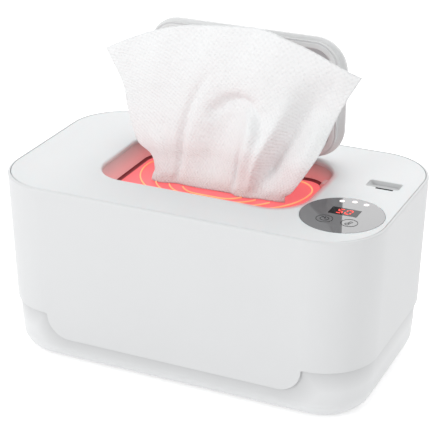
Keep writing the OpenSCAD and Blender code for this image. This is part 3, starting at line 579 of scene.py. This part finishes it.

# Painted shadow: a small black trough stands in the slot beside the key, for the dark depth of the
# slot.
# It is drawn from insets and depths in millimetres
slot_shadow_black = satin_abs("black_painted_slot_shadow", "#18191B", 0.5)
mesh = bmesh.new()
slot_rows = []
for inset, depth in ((0.02, 2.2), (0.02, 0.06), (0.06, 0.02), (0.16, 0.02), (0.2, 0.06), (0.2, 1.4)):
    slot_rows.append(ring(mesh, rounded_loop(
        slot_centre, slot_length - 2 * inset * mm, slot_width - 2 * inset * mm, 0.25 * mm,
        body_top - depth * mm, 4)))
sew(mesh, slot_rows, capped=True)
make_piece("painted_slot_shadow", mesh, slot_shadow_black, "housing")


def lit_from_below(name, colour, glow, foot, top, strength):
    """Milky ABS with painted red light from the heater: a pink colour and a glow that fades up from its
    foot.
    """
    material = satin_abs(name, colour, 0.4, 0.35)
    tree = material.node_tree
    place = add(tree, "TexCoord").outputs["Object"]
    height = add(tree, "SeparateXYZ", {"Vector": place}).outputs["Z"]
    fade = add(tree, "MapRange", {"Value": height, "From Min": foot, "From Max": top,
                                  "To Min": strength, "To Max": 0.0}, interpolation_type="SMOOTHSTEP")
    shader = shader_of(material)
    shader.inputs["Emission Color"].default_value = linear(glow)
    tree.links.new(fade.outputs["Result"], shader.inputs["Emission Strength"])
    return material


# The wall's pink colour and glow are painted red light from the heater
lit_wall = lit_from_below("lit_milky_panel_abs", "#D9B4B3", "#E0686A",
                          well_foot, body_top - 1 * mm, 0.42)
mesh = bmesh.new()
well_rows = []
for i in range(13):
    share = i / 12
    height = panel_bottom + (well_foot - panel_bottom) * share
    loop = rounded_loop((opening_x, opening_y), opening_length + (well_length - opening_length) * share,
                        opening_width + (well_width - opening_width) * share,
                        opening_radius + (well_radius - opening_radius) * share, height, 20)
    # Under the hinge barrel the wall stays lower
    low = body_top - 2 * barrel_radius - barrel_gap
    if height > low:
        for point in loop:
            if abs(point.x - opening_x) < notch_half and point.y > opening_y:
                point.z = low
    well_rows.append(loop)
outer_rows = [grown(loop, well_wall, loop[0].z) for loop in (well_rows[-1], well_rows[0])]
sew(mesh, [ring(mesh, loop) for loop in well_rows + outer_rows + [well_rows[0]]])
well = make_piece("well_wall", mesh, lit_wall, "housing", ["top_panel"], sharp=40)
# The latch bolt passes through the right-hand wall
latch_hole = (48 * mm, 15.0 * mm, 96.3 * mm), (58 * mm, 21.4 * mm, 98.7 * mm)
cutter = bmesh.new()
block(cutter, *latch_hole)
carve(well, cutter, sharp=40)
even_shading(well)


# Lid
# A satin white shell with a raised sealing ring on its inner side, hinged behind the well.
# It is drawn closed, flush with the panel, and then swung up about its hinge.
lid_open = math.radians(91.2)
hinge = Vector((opening_x, hinge_y, body_top - barrel_radius))
swing = Matrix.Translation(hinge) @ Matrix.Rotation(-lid_open, 4, "X") @ Matrix.Translation(-hinge)
lid_gap = 0.7 * mm
lid_skin = 2.2 * mm
lid_depth = 7.4 * mm
lid_length = opening_length - 2 * lid_gap
lid_width = opening_width - 2 * lid_gap
lid_radius = opening_radius - lid_gap
plug_length = 106.9 * mm
plug_width = 62.31 * mm
plug_radius = 13.42 * mm
plug_wall = 3 * mm
lid_edge = 0.8 * mm
plug_edge = 0.6 * mm
least_radius = 2 * mm

# Insets and depths, from the middle of the outer face round to the middle of the inner one
skin_profile = [(12 * mm, 0), (3 * mm, 0)]
skin_profile += [(lid_edge * (1 - sine), lid_edge * (1 - cosine)) for sine, cosine in quarter_turn(5)]
skin_profile += [(0, lid_skin - 0.4 * mm), (0.12 * mm, lid_skin - 0.12 * mm), (0.4 * mm, lid_skin)]
plug_profile = [(-0.4 * mm, lid_skin), (-0.1 * mm, lid_skin + 0.15 * mm), (0, lid_skin + 0.5 * mm),
                (0, lid_depth - plug_edge)]
plug_profile += [(plug_edge * (1 - cosine), lid_depth - plug_edge * (1 - sine))
                 for sine, cosine in quarter_turn(4, 1)]
plug_profile += [(plug_wall - plug_edge * (1 - sine), lid_depth - plug_edge * (1 - cosine))
                 for sine, cosine in quarter_turn(4)]
plug_profile += [(plug_wall, lid_skin), (14 * mm, lid_skin)]
mesh = bmesh.new()
rows = []
for profile, length, width, radius in ((skin_profile, lid_length, lid_width, lid_radius),
                                       (plug_profile, plug_length, plug_width, plug_radius)):
    for inset, depth in profile:
        rows.append(ring(mesh, rounded_loop(
            (opening_x, opening_y), length - 2 * inset, width - 2 * inset,
            max(radius - inset, least_radius), body_top - depth, 20)))
sew(mesh, rows, capped=True)
# Its colour is painted a little lighter than the housing's, for the shade that the wipe casts on the
# lid
lid_plastic = satin_abs("satin_white_lid_abs", "#E4E5E5", 0.42)
lid = make_piece("lid_skin", mesh, lid_plastic, "lid", ["lid_shell"], sharp=34, turn=swing)
# The catch of the latch bolt: a pocket in the plug's right-hand end
catch_hole = (50.95 * mm, 14.8 * mm, 96.2 * mm), (55.95 * mm, 21.6 * mm, 99.7 * mm)
cutter = bmesh.new()
block(cutter, *catch_hole, swing)
carve(lid, cutter, sharp=34)
even_shading(lid)

# The hinge barrel is moulded on, in two halves with the spring between them
mesh = bmesh.new()
root_y = opening_y + lid_width / 2 - 3 * mm
tongue = [(root_y, body_top - lid_skin), (root_y, body_top - 0.02 * mm)]
for degrees in [90 - 7.5 * i for i in range(25)] + [-90 - 15 * i for i in range(1, 7)]:
    angle = math.radians(degrees)
    tongue.append((hinge_y + barrel_radius * math.cos(angle),
                   body_top - barrel_radius + barrel_radius * math.sin(angle)))
spring_half = 6 * mm
for low, high in ((-barrel_half, -spring_half), (spring_half, barrel_half)):
    sew(mesh, [[mesh.verts.new((opening_x + x, y, z)) for y, z in tongue] for x in (low, high)],
        capped=True)
barrel = make_piece("lid_barrel", mesh, lid_plastic, "lid", ["lid_shell"], sharp=34, turn=swing)


# Heated floor
# A coated metal plate lit red from its heater, with a thin yellow-hot wire laid on it in
# nested loops. Both give off light, which falls on the walls of the well; the walls' red is also
# painted.


def glowing(name, colour, glow, strength, roughness=0.5, cast=1.0, cooler=None):
    """A coated surface that glows unevenly. It casts a share of its light on what is around it.
    Where it has a cooler colour, it changes between that and its glow."""
    material, tree = start_material(name)
    place = add(tree, "TexCoord").outputs["Object"]
    flow = add(tree, "TexNoise", {"Vector": place, "Scale": 1 / (25 * mm), "Detail": 2})
    heat = add(tree, "MapRange", {"Value": flow, "To Min": strength * 0.92,
                                  "To Max": strength * 1.08})
    rays = add(tree, "LightPath")
    part = add(tree, "MapRange", {"Value": rays.outputs["Is Diffuse Ray"], "To Min": 1.0,
                                  "To Max": cast})
    light = add(tree, "Math", {0: heat, 1: part},
                operation="MULTIPLY")
    shader = add(tree, "BsdfPrincipled", {
        "Base Color": linear(colour), "Roughness": roughness, "Emission Color": linear(glow),
        "Emission Strength": light})
    if cooler:
        hue = add(tree, "ValToRGB", {"Fac": flow})
        set_stops(hue, linear(cooler), linear(glow))
        hue.color_ramp.elements[0].position = 0.35
        hue.color_ramp.elements[1].position = 0.65
        tree.links.new(hue.outputs["Color"], shader.inputs["Emission Color"])
    add(tree, "OutputMaterial", {"Surface": shader})
    return material


def dress(node, material):
    """Gives a CAD node its material."""
    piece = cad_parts[node]
    piece.data.materials.clear()
    piece.data.materials.append(material)
    return piece


hot_steel = glowing("hot_coated_steel", "#B84448", "#FF7479", 0.68, roughness=0.35, cast=0.24)
# Painted shadow: along the foot of the wall the plate's glow is dimmed and its colour darkened, for the
# shade in the gap there
tree = hot_steel.node_tree
reach = beyond(tree, (opening_x, opening_y, 0),
               (well_length / 2 - well_radius, well_width / 2 - well_radius, 1))
border = add(tree, "MapRange", {"Value": reach, "From Min": well_radius - 2.4 * mm,
                                "From Max": well_radius - 1.2 * mm},
             interpolation_type="SMOOTHSTEP").outputs["Result"]
dimmed = add(tree, "MapRange", {"Value": border, "To Min": 1.0, "To Max": 0.1})
shader = shader_of(hot_steel)
lit = shader.inputs["Emission Strength"].links[0].from_socket
glow = add(tree, "Math", {0: lit, 1: dimmed}, operation="MULTIPLY")
tree.links.new(glow.outputs[0], shader.inputs["Emission Strength"])
painted_gap_shadow = add(tree, "ValToRGB", {"Fac": border})
set_stops(painted_gap_shadow, linear("#B84448"), linear("#6E2A30"))
tree.links.new(painted_gap_shadow.outputs["Color"], shader.inputs["Base Color"])
dress("heating_plate", hot_steel)
hot_wire = glowing("hot_wire", "#D88A62", "#FFC484", 0.72, roughness=0.4, cast=0.25, cooler="#FF9A70")
dress("heating_wire", hot_wire)


# Control disc
# A smoked acrylic disc, polished to a high gloss, so that it mirrors the studio. Behind it
# stand the display with lit segments, two touch keys and three frosted light pipes.


def uneven_gloss(name, colour, dullness, spacing, detail, look):
    """A material of one colour, whose roughness wanders between two values."""
    material, tree = start_material(name)
    place = add(tree, "TexCoord").outputs["Object"]
    noise = add(tree, "TexNoise", {"Vector": place, "Scale": 1 / spacing, "Detail": detail})
    gloss = add(tree, "MapRange", {"Value": noise, "To Min": dullness[0], "To Max": dullness[1]})
    shader = add(tree, "BsdfPrincipled", {"Base Color": linear(colour), "Roughness": gloss, **look})
    add(tree, "OutputMaterial", {"Surface": shader})
    return material


def smoked_acrylic(name, colour, roughness, level=0.5):
    """Acrylic or ink with a dark tint and faint wiping marks."""
    return uneven_gloss(name, colour, (roughness, roughness * 2.2), 9 * mm, 4,
                        {"IOR": 1.49, "Specular IOR Level": level})


dress("control_disc", smoked_acrylic("smoked_acrylic", "#6A6A6C", 0.006))
dress("display_window", smoked_acrylic("black_smoked_acrylic", "#1C1C1E", 0.05, level=0.1))
dress("display_digits", glowing("lit_red_segments", "#E04038", "#FF4A40", 1.1, roughness=0.4))
dress("touch_icons", smoked_acrylic("printed_dark_ink", "#303032", 0.5, level=0.1))
dress("light_pipes", glowing("lit_frosted_acrylic", "#F6F0EE", "#FFF4F2", 0.6, roughness=0.4))


# Release key
# A satin white key with a finger dish that deepens towards its back edge.
key_top = body_top - 0.1 * mm
key_skirt = body_top - 3.5 * mm
key_round = 1.2 * mm
dish = 1.9 * mm
dish_flank = 1.6 * mm
dish_run = key_width - 1.6 * mm
front_lip = 0.4 * mm
rear_lip = 0.35 * mm
rear_slope = 0.55 * mm
steps_x, steps_y = 40, 24


def eased(low, high, value):
    """A smooth step from 0 to 1."""
    t = min(1.0, max(0.0, (value - low) / (high - low)))
    return t * t * (3 - 2 * t)


mesh = bmesh.new()
grid = []
for j in range(steps_y + 1):
    row = []
    for i in range(steps_x + 1):
        u = 2 * i / steps_x - 1
        v = 2 * j / steps_y - 1
        x = u * key_length / 2
        y = v * key_width / 2
        # Its corners are round
        edge = max(0.0, abs(x) - (key_length / 2 - key_round))
        other = max(0.0, abs(y) - (key_width / 2 - key_round))
        reach = math.hypot(edge, other)
        if reach > key_round:
            x -= math.copysign(edge - edge * key_round / reach, u)
            y -= math.copysign(other - other * key_round / reach, v)
        side = eased(0, dish_flank, key_length / 2 - abs(x))
        front = min(1.0, max(0.0, (y + key_width / 2 - front_lip) / dish_run))
        rear = min(1.0, max(0.0, (key_width / 2 - rear_lip - y) / rear_slope))
        row.append(mesh.verts.new((key_centre.x + x, key_centre.y + y,
                                   key_top - 0.1 * mm - dish * side * front ** 0.8 * rear)))
    grid.append(row)
for one, other in zip(grid, grid[1:]):
    for i in range(steps_x):
        mesh.faces.new((one[i], one[i + 1], other[i + 1], other[i]))
border = grid[0] + [row[-1] for row in grid[1:]] + grid[-1][-2::-1] + [row[0] for row in grid[-2:0:-1]]
lower = ring(mesh, [Vector((v.co.x, v.co.y, key_skirt)) for v in border])
sew(mesh, [border, lower])
mesh.faces.new(lower)
# Below it stand the bar that the spring pushes on, and the wedge that draws the latch bolt back
key_low, key_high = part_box("release_key")
bar_half = 2.5 * mm
block(mesh, (key_low[0], key_centre.y - bar_half, key_skirt),
      (key_high[0], key_centre.y + bar_half, body_top - 2.5 * mm))
wedge_tip = key_centre.x - 2.7 * mm
wedge_back = wedge_tip - 2 * mm
wedge_root = wedge_tip + key_skirt - key_low[2]
wedge_top = key_skirt + 1 * mm
wedge_half = 2.2 * mm
profile = [(wedge_back, key_low[2]), (wedge_tip, key_low[2]), (wedge_root, key_skirt),
           (wedge_root, wedge_top), (wedge_back, wedge_top)]
sew(mesh, [[mesh.verts.new((x, key_centre.y + y, z)) for x, z in profile]
           for y in (-wedge_half, wedge_half)], capped=True)
# Its colour is greyer than the housing's: painted shade for the recess that it sits in
key_plastic = satin_abs("satin_white_key_abs", "#BCBDBE", 0.42)
key = make_piece("release_key_cap", mesh, key_plastic, "release_key", ["release_key"], sharp=45)


# Pulled wipe
# One moist nonwoven wipe, embossed with fine dimples. It is gathered in the slot of the heated
# floor into soft pleats, fans out above it, and leans a little towards the lid.
wipe_steps_u, wipe_steps_v = 170, 120
wipe_size = (0.15, 0.10)
tail = 0.16
lean_tangent = math.tan(math.radians(8))
# Lengths in millimetres, as in the tables below
lean_from = 91
foot_height = 92.1
tail_end = 77.2
slot_half = 1.7
slot_middle = -0.9
belly = 1.2
ripple = 0.5
tail_ripple = 1.4
curl_depth = 14
curl_way = (-0.30, 0.90, -0.33)
# Shares of the way across the wipe and of the way down its tail
curl_from = 0.62
run_share = 0.35


def along_path(points, share):
    """A place on a smooth path through points, each of them led by its share of the way."""
    for before, after in zip(points, points[1:]):
        if share <= after[0]:
            break
    t = (share - before[0]) / (after[0] - before[0])
    t = min(1.0, max(0.0, t))
    i = points.index(before)
    left = points[max(0, i - 1)]
    right = points[min(len(points) - 1, i + 2)]
    result = []
    for k in range(1, len(after)):
        slope_in = (after[k] - left[k]) / (after[0] - left[0]) * (after[0] - before[0])
        slope_out = (right[k] - before[k]) / (right[0] - before[0]) * (after[0] - before[0])
        result.append((2 * t ** 3 - 3 * t ** 2 + 1) * before[k] + (t ** 3 - 2 * t ** 2 + t) * slope_in
                      + (3 * t ** 2 - 2 * t ** 3) * after[k] + (t ** 3 - t ** 2) * slope_out)
    return result


# The side edges of the wipe: share of its height, x and height in millimetres
left_side = [(0, -37.2, 92.2), (0.08, -36.4, 98.5), (0.17, -38.8, 105.2), (0.26, -47.4, 110.8),
             (0.45, -54.2, 127), (0.7, -58.6, 141.8), (1, -68.9, 158.7)]
right_side = [(0, 37.4, 92.2), (0.04, 40.9, 95.9), (0.08, 43.4, 98.8), (0.22, 49.6, 108.6),
              (0.42, 56.5, 121), (0.66, 61.8, 135.3), (0.82, 66.2, 146.2), (1, 74.9, 162.2)]
# The top edge of the wipe: share across, and height above the line between its corners
top_edge = [(0, 0), (0.06, 4.4), (0.18, 11.4), (0.28, 15.6), (0.4, 17.7), (0.53, 19), (0.63, 18.5),
            (0.71, 15.3), (0.8, 10.9), (0.9, 5.2), (1, 0)]
# Where the wipe lies on the heated floor: share across, x and y in millimetres
foot_line = [(0, -38, -1.4), (0.03, -37, -4), (0.08, -33.4, -5.5), (0.13, -28.4, -4.8),
             (0.18, -23.6, -2.9), (0.24, -18.5, -3.2), (0.32, -12.4, -3.7), (0.4, -6.4, -3.7),
             (0.47, -1, -3.2), (0.54, 4.4, -2.8), (0.585, 8.2, -2.7), (0.61, 9.6, -3.4),
             (0.64, 11.6, -5.2), (0.69, 15.6, -5.6), (0.75, 20, -5), (0.82, 25.5, -4),
             (0.9, 31.2, -3.3), (0.96, 36.2, -2.8), (1, 39.2, -1.8)]
# The folds: points across and up the wipe, each with the depth towards the back and half the
# width of the fold there, in millimetres. A negative depth is a ridge.
folds = [
    [(-22.8, 90, 2.0, 1.8), (-22.4, 96, 3.0, 1.9), (-21.9, 103, 3.0, 2.0), (-21.8, 111, 2.8, 2.2),
     (-21.1, 119, 2.6, 2.3), (-19.3, 128, 2.2, 2.4), (-16.9, 137, 1.9, 2.4), (-13.9, 144, 1.4, 2.5),
     (-9.1, 151, 0.7, 2.8), (-4, 157, 0, 3)],
    [(-6, 90, 1.2, 8), (-5, 100, 3.0, 9), (-3.6, 110, 4.6, 9.6), (-1, 119, 6.0, 9.8),
     (2.5, 128, 6.8, 9.6), (6.6, 133, 6.8, 9)],
    [(-8, 127, 0, 3), (-5, 133, 2.2, 3.4), (1.6, 138.6, 3.8, 3.6), (8.6, 140.2, 4.6, 3.6),
     (15.6, 138.2, 4.6, 3.4), (20.6, 133.6, 4.0, 3), (23, 127, 2.4, 2.6), (23.4, 121, 0, 2.4)],
    [(9.6, 90, 1.8, 1.5), (10.4, 98, 3.8, 1.6), (11, 107, 3.4, 1.8), (12.2, 114, 1.8, 2),
     (14, 120, 0, 2)],
    [(13, 90, -0.8, 3), (14, 98, -3.0, 3.4), (15.6, 108, -4.8, 4.4), (17.4, 118, -6.4, 5.2),
     (18.2, 127, -6.4, 5.4), (16.8, 135, -3.4, 5), (14, 141, 0, 4)],
    [(17.6, 92, -1.2, 2.4), (20, 100, -3.2, 2.8), (21.6, 106, -4.6, 3), (25.2, 117, -5.0, 3.4),
     (29.8, 128, -4.0, 3.8), (34.8, 138, -2.0, 4.4), (39, 147, 0, 5)],
    [(24, 90, 2.0, 3.0), (26, 97, 5.8, 3.8), (29, 106, 9.0, 4.6), (33.6, 116, 10.2, 5.4),
     (39, 125, 10.0, 6.4), (44, 134, 9.2, 7.8), (47.8, 142, 7.6, 9.2), (52, 149, 5.4, 10),
     (59, 155, 3, 10), (67, 159, 0, 10)],
    [(37, 93, -0.6, 3.4), (42, 100, -1.8, 3.8), (47.4, 113, -2.0, 4.2), (51.6, 127, -1.4, 4.8),
     (56, 140, 0, 5)],
    [(-31, 90, -0.4, 3.6), (-31.6, 98, -1.8, 3.9), (-33, 106, -2.0, 4.6), (-34.6, 114, -1.4, 5),
     (-36.4, 122, 0, 6)],
]


def fold_depth(x, z):
    """How far the folds push a point of the wipe towards the back."""
    total = 0.0
    for line in folds:
        nearest, depth = 1e9, 0.0
        for (x1, z1, deep1, half1), (x2, z2, deep2, half2) in zip(line, line[1:]):
            along = ((x - x1) * (x2 - x1) + (z - z1) * (z2 - z1)) / ((x2 - x1) ** 2 + (z2 - z1) ** 2)
            along = min(1.0, max(0.0, along))
            distance = math.hypot(x - x1 - (x2 - x1) * along, z - z1 - (z2 - z1) * along)
            distance /= half1 + (half2 - half1) * along
            if distance < nearest:
                nearest, depth = distance, deep1 + (deep2 - deep1) * along
        total += depth * math.exp(-nearest * nearest)
    return total


mesh = bmesh.new()
flat_place = mesh.loops.layers.uv.new("cloth")
rows = []
for j in range(wipe_steps_v + 1):
    v = j / wipe_steps_v * (1 + tail) - tail
    share = max(0.0, v)
    left_x, left_z = along_path(left_side, share)
    right_x, right_z = along_path(right_side, share)
    row = []
    for i in range(wipe_steps_u + 1):
        s = i / wipe_steps_u
        x = left_x + (right_x - left_x) * s
        z = left_z + (right_z - left_z) * s + along_path(top_edge, s)[0] * share ** 1.5
        y = -2 + (z - lean_from) * lean_tangent + fold_depth(x, z)
        # It bellies out above its foot, and small ripples cross its upper part
        y -= (belly * eased(0.1, 0.3, share) * (1 - eased(0.3, 0.6, share))
              * eased(0, 0.12, min(s, 1 - s)))
        y += ripple * eased(0.4, 1, share) * math.sin(2 * math.pi * (4.5 * s - 1.6 * share + 0.2))
        # The right-hand corner curls back and down
        curl = (max(0.0, s - curl_from) / (1 - curl_from)) ** 2 * eased(0.25, 0.75, share) * curl_depth
        x, y, z = (part + way * curl for part, way in zip((x, y, z), curl_way))
        # The foot is gathered in pleats, and its right-hand end is lifted off the floor a little
        foot_x, foot_y = along_path(foot_line, s)
        x += (foot_x - x) * (1 - eased(0.0, 0.07, share))
        y += (foot_y - y) * (1 - eased(-0.06, 0.2, share))
        z += 1.0 * eased(0.93, 1, s) * (1 - eased(0.0, 0.05, share))
        if v < 0:
            # From its foot the wipe runs over the floor to the slot, and then down through it
            run = eased(0, run_share, -v / tail)
            fall = eased(run_share, 1, -v / tail)
            x += (slot_middle + (x - slot_middle) * 0.94 - x) * run
            y += (min(slot_half, max(-slot_half, y)) - y) * run
            z = foot_height - fall * (foot_height - tail_end)
            y += (tail_ripple * math.sin(2 * math.pi * 9 * s) - y) * fall
        row.append(mesh.verts.new((x * mm, y * mm, z * mm)))
    rows.append(row)
for j in range(wipe_steps_v):
    for i in range(wipe_steps_u):
        face = mesh.faces.new((rows[j][i], rows[j][i + 1], rows[j + 1][i + 1], rows[j + 1][i]))
        for loop, (a, b) in zip(face.loops, ((i, j), (i + 1, j), (i + 1, j + 1), (i, j + 1))):
            loop[flat_place].uv = (a / wipe_steps_u * wipe_size[0], b / wipe_steps_v * wipe_size[1])


def embossed_nonwoven(name, laid="UV"):
    """Moist nonwoven cloth: matt white fibres, a fine pattern of dimples, light passing through."""
    material, tree = start_material(name)
    flat = add(tree, "TexCoord").outputs[laid]
    # The dimples stand in slanting rows. They are 1 mm apart on a real wipe, and drawn 2.2 mm
    # apart, so that they show.
    slanted = add(tree, "Mapping", {"Vector": flat, "Rotation": (0, 0, math.radians(38)),
                                    "Scale": (1, 1.15, 1)}).outputs["Vector"]
    cells = add(tree, "TexVoronoi", {"Vector": slanted, "Scale": 1 / (2.2 * mm), "Randomness": 0.2},
                feature="SMOOTH_F1")
    fibres = add(tree, "TexNoise", {"Vector": slanted, "Scale": 1 / (0.8 * mm), "Detail": 4})
    height = add(tree, "Math", {0: fibres, 1: 0.3, 2: cells},
                 operation="MULTIPLY_ADD")
    bump = add(tree, "Bump", {"Height": height, "Strength": 0.9, "Distance": 0.9 * mm})
    tone = add(tree, "ValToRGB", {"Fac": cells})
    set_stops(tone, linear("#F6F8F9"), linear("#FBFBFB"))
    shader = add(tree, "BsdfPrincipled", {
        "Base Color": tone, "Roughness": 0.85, "IOR": 1.4, "Sheen Weight": 0.15,
        "Sheen Roughness": 0.5, "Normal": bump})
    through = add(tree, "BsdfTranslucent", {"Color": linear("#F6F7F8"),
                                            "Normal": bump})
    both = add(tree, "MixShader", {0: 0.05, 1: shader, 2: through})
    add(tree, "OutputMaterial", {"Surface": both})
    return material


wipe = make_piece("pulled_wipe", mesh, embossed_nonwoven("embossed_nonwoven"), "housing",
                  ["dispensed_wipe"], sharp=180)
thick = wipe.modifiers.new("thickness", "SOLIDIFY")
thick.thickness = 0.4 * mm
thick.offset = 0
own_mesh(wipe)


# Stack of wipes
# Folded wipes laid on each other in the tank, each a soft pad whose folded edges bulge a little.
# Their edges don't line up quite, and the top one shows the crease that the next wipe leaves by.
stack_low, stack_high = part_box("wipe_stack")
stack_length = stack_high[0] - stack_low[0]
stack_width = stack_high[1] - stack_low[1]
stack_side = 5.7 * mm
stack_foot = 4.2 * mm
stack_foot_height = 8 * mm
stack_corner = 3 * mm
fold_bulge = 0.75 * mm
shift_most = 0.35
spare_most = 0.6
pads = 30
pad_height = (stack_high[2] - 0.6 * mm - stack_low[2]) / pads
chance = random.Random(7)
mesh = bmesh.new()
rows = []
for pad in range(pads):
    shift_x = chance.uniform(-shift_most, shift_most) * mm
    shift_y = chance.uniform(-shift_most, shift_most) * mm
    spare = chance.uniform(0, spare_most) * mm
    for step in range(5):
        share = step / 4
        rise = (pad + share) * pad_height
        inset = stack_side + spare + fold_bulge * abs(2 * share - 1) ** 2.5
        inset += stack_foot * max(0.0, 1 - rise / stack_foot_height) ** 2
        rows.append(ring(mesh, rounded_loop(
            (shift_x, shift_y), stack_length - 2 * inset, stack_width - 2 * inset,
            stack_corner, stack_low[2] + rise, 5)))
# The top wipe: inset and depth below the top, in millimetres, in towards its crease
for inset, drop in ((7.6, 0.5), (9, 0.36), (13, 0.26), (24, 0.2), (40, 0.24), (47, 0.34),
                    (49.6, 0.7), (50.8, 1.3)):
    rows.append(ring(mesh, rounded_loop(
        (0, 0), stack_length - 2 * inset * mm, stack_width - 2 * inset * mm, 1.2 * mm,
        stack_high[2] - drop * mm, 5)))
sew(mesh, rows, capped=True)
stack = make_piece("folded_wipes", mesh, embossed_nonwoven("stacked_nonwoven", "Object"), "base",
                   ["wipe_stack"], sharp=50)


# Inner pieces
# What the housing and the base hold: plain mouldings, springs, boards and the tank.


def plain(name, colour, roughness, metallic=0.0):
    """A simple material with a faint grain in its gloss."""
    return uneven_gloss(name, colour, (roughness - 0.06, roughness + 0.08), 0.5 * mm, 2,
                        {"Metallic": metallic})


zinc_steel = plain("zinc_plated_steel", "#9A9CA0", 0.35, 1.0)
spring_steel = plain("spring_steel", "#B0B2B5", 0.28, 1.0)
circuit_board = plain("green_solder_mask", "#2F6B46", 0.35)
polypropylene = plain("natural_polypropylene", "#E4E7E9", 0.35)
black_moulding = plain("black_glass_filled_nylon", "#202124", 0.5)
grey_acetal = plain("grey_acetal", "#CFD1D4", 0.35)
silicone = plain("grey_silicone", "#D4D5D6", 0.6)
for node, material in (
        ("rubber_feet", plain("grey_rubber", "#6F7073", 0.75)),
        ("foam_pad", plain("closed_cell_foam", "#B9BCC0", 0.9)),
        ("wipe_tank", polypropylene), ("divider_plate", polypropylene),
        ("tank_gasket", silicone), ("lid_seal", silicone),
        ("case_screws", zinc_steel), ("hinge_pins", spring_steel), ("key_spring", spring_steel),
        ("lid_spring", spring_steel), ("touch_springs", spring_steel),
        ("insulating_sheet", plain("pressed_mica", "#D8CFB4", 0.5)),
        ("temperature_sensor", plain("black_epoxy", "#2B2C30", 0.25)),
        ("thermal_fuse", plain("tinned_brass", "#C9B06A", 0.3, 1.0)),
        ("heater_leads", plain("red_silicone_jacket", "#B3262B", 0.4)),
        ("display_ribbon", plain("grey_ribbon_jacket", "#8A8D92", 0.4)),
        ("display_board", circuit_board), ("power_board", circuit_board),
        ("display_module", black_moulding), ("power_components", black_moulding),
        # The latch bolt takes the well wall's material, with its painted red light
        ("power_inlet", black_moulding), ("latch_guide", grey_acetal), ("latch_bolt", lit_wall),
        ("lid_liner", satin_abs("matt_grey_liner_abs", "#CDCED0", 0.5))):
    dress(node, material)


# Studio
# A pale floor, a white surround and large soft lamps. A white card to the right is seen only
# in glossy surfaces, where it draws the bright half of the control disc.
floor_lift = 0.42
surround_light = 0.77


def seen_by(tree, *rays):
    """1 for rays of the kinds that show a background, and 0 for those that light the object."""
    kinds = add(tree, "LightPath")
    seen = kinds.outputs[rays[0]]
    for ray in rays[1:]:
        seen = add(tree, "Math", {0: seen, 1: kinds.outputs[ray]}, operation="MAXIMUM").outputs[0]
    return seen


def flat_square(name, half, material):
    """A flat square of a material, about the origin."""
    mesh = bmesh.new()
    bmesh.ops.create_grid(mesh, x_segments=1, y_segments=1, size=half)
    data = bpy.data.meshes.new(name)
    mesh.to_mesh(data)
    mesh.free()
    data.materials.append(material)
    square = bpy.data.objects.new(name, data)
    bpy.context.collection.objects.link(square)
    return square


paper, tree = start_material("white_paper")
seen = seen_by(tree, "Is Camera Ray", "Is Glossy Ray")
matt = add(tree, "BsdfDiffuse", {"Color": linear("#F2F2F2")})
lift = add(tree, "MixShader", {0: seen, 2: add(tree, "Emission", {"Strength": floor_lift})})
look = add(tree, "AddShader", {0: matt, 1: lift})
add(tree, "OutputMaterial", {"Surface": look})
floor = flat_square("floor", 6, paper)

world = bpy.data.worlds.new("studio")
bpy.context.scene.world = world
world.use_nodes = True
tree = world.node_tree
tree.nodes.clear()
seen = seen_by(tree, "Is Camera Ray", "Is Glossy Ray", "Is Transmission Ray")
strength = add(tree, "MapRange", {"Value": seen, "To Min": surround_light, "To Max": 1.0})
surround = add(tree, "Background", {"Color": (1, 1, 1, 1), "Strength": strength})
add(tree, "OutputWorld", {"Surface": surround})


def soft_lamp(name, place, aim, size, power):
    """A square lamp that faces a point."""
    light = bpy.data.lights.new(name, "AREA")
    light.size = size
    light.energy = power
    lamp = bpy.data.objects.new(name, light)
    lamp.location = place
    lamp.rotation_euler = (Vector(aim) - Vector(place)).to_track_quat("-Z", "Y").to_euler()
    bpy.context.collection.objects.link(lamp)
    return lamp


back_lamp = soft_lamp("back_lamp", (-0.1, 0.55, 0.75), (0, 0.03, 0.1), size=0.6, power=3.4)
back_lamp.visible_glossy = False
soft_lamp("front_lamp", (-1.2, -1.65, 0.7), (0, 0, 0.08), size=0.7, power=11.6)
soft_lamp("side_lamp", (1.1, -0.95, 0.25), (0.05, 0, 0.06), size=0.8, power=2.6)

card_half = 0.06
card_distance = 1.2
card_paper, tree = start_material("lit_card")
add(tree, "OutputMaterial", {"Surface": add(tree, "Emission", {"Strength": 3.5})})
card = flat_square("light_card", card_half, card_paper)
# Its left edge stands where the middle of the disc mirrors it to the camera, and it leans
# so that the mirrored edge is upright
mirror_point = Vector((disc_centre.x - 0.9 * mm, disc_centre.y, body_top))
view_way = (mirror_point - camera_place).normalized()
bounce = Vector((view_way.x, view_way.y, -view_way.z))
card_edge = mirror_point + bounce * card_distance
card_side = Vector((rightwards.x, rightwards.y, -rightwards.z))
card_up = Vector((upwards.x, upwards.y, -upwards.z))
card_middle = card_edge + card_side * card_half
card.matrix_world = standing(card_middle, card_side, card_up, card_side.cross(card_up))
card.visible_camera = False
card.visible_diffuse = False
card.visible_shadow = False
card.visible_transmission = False

bpy.context.scene.view_settings.view_transform = "Standard"
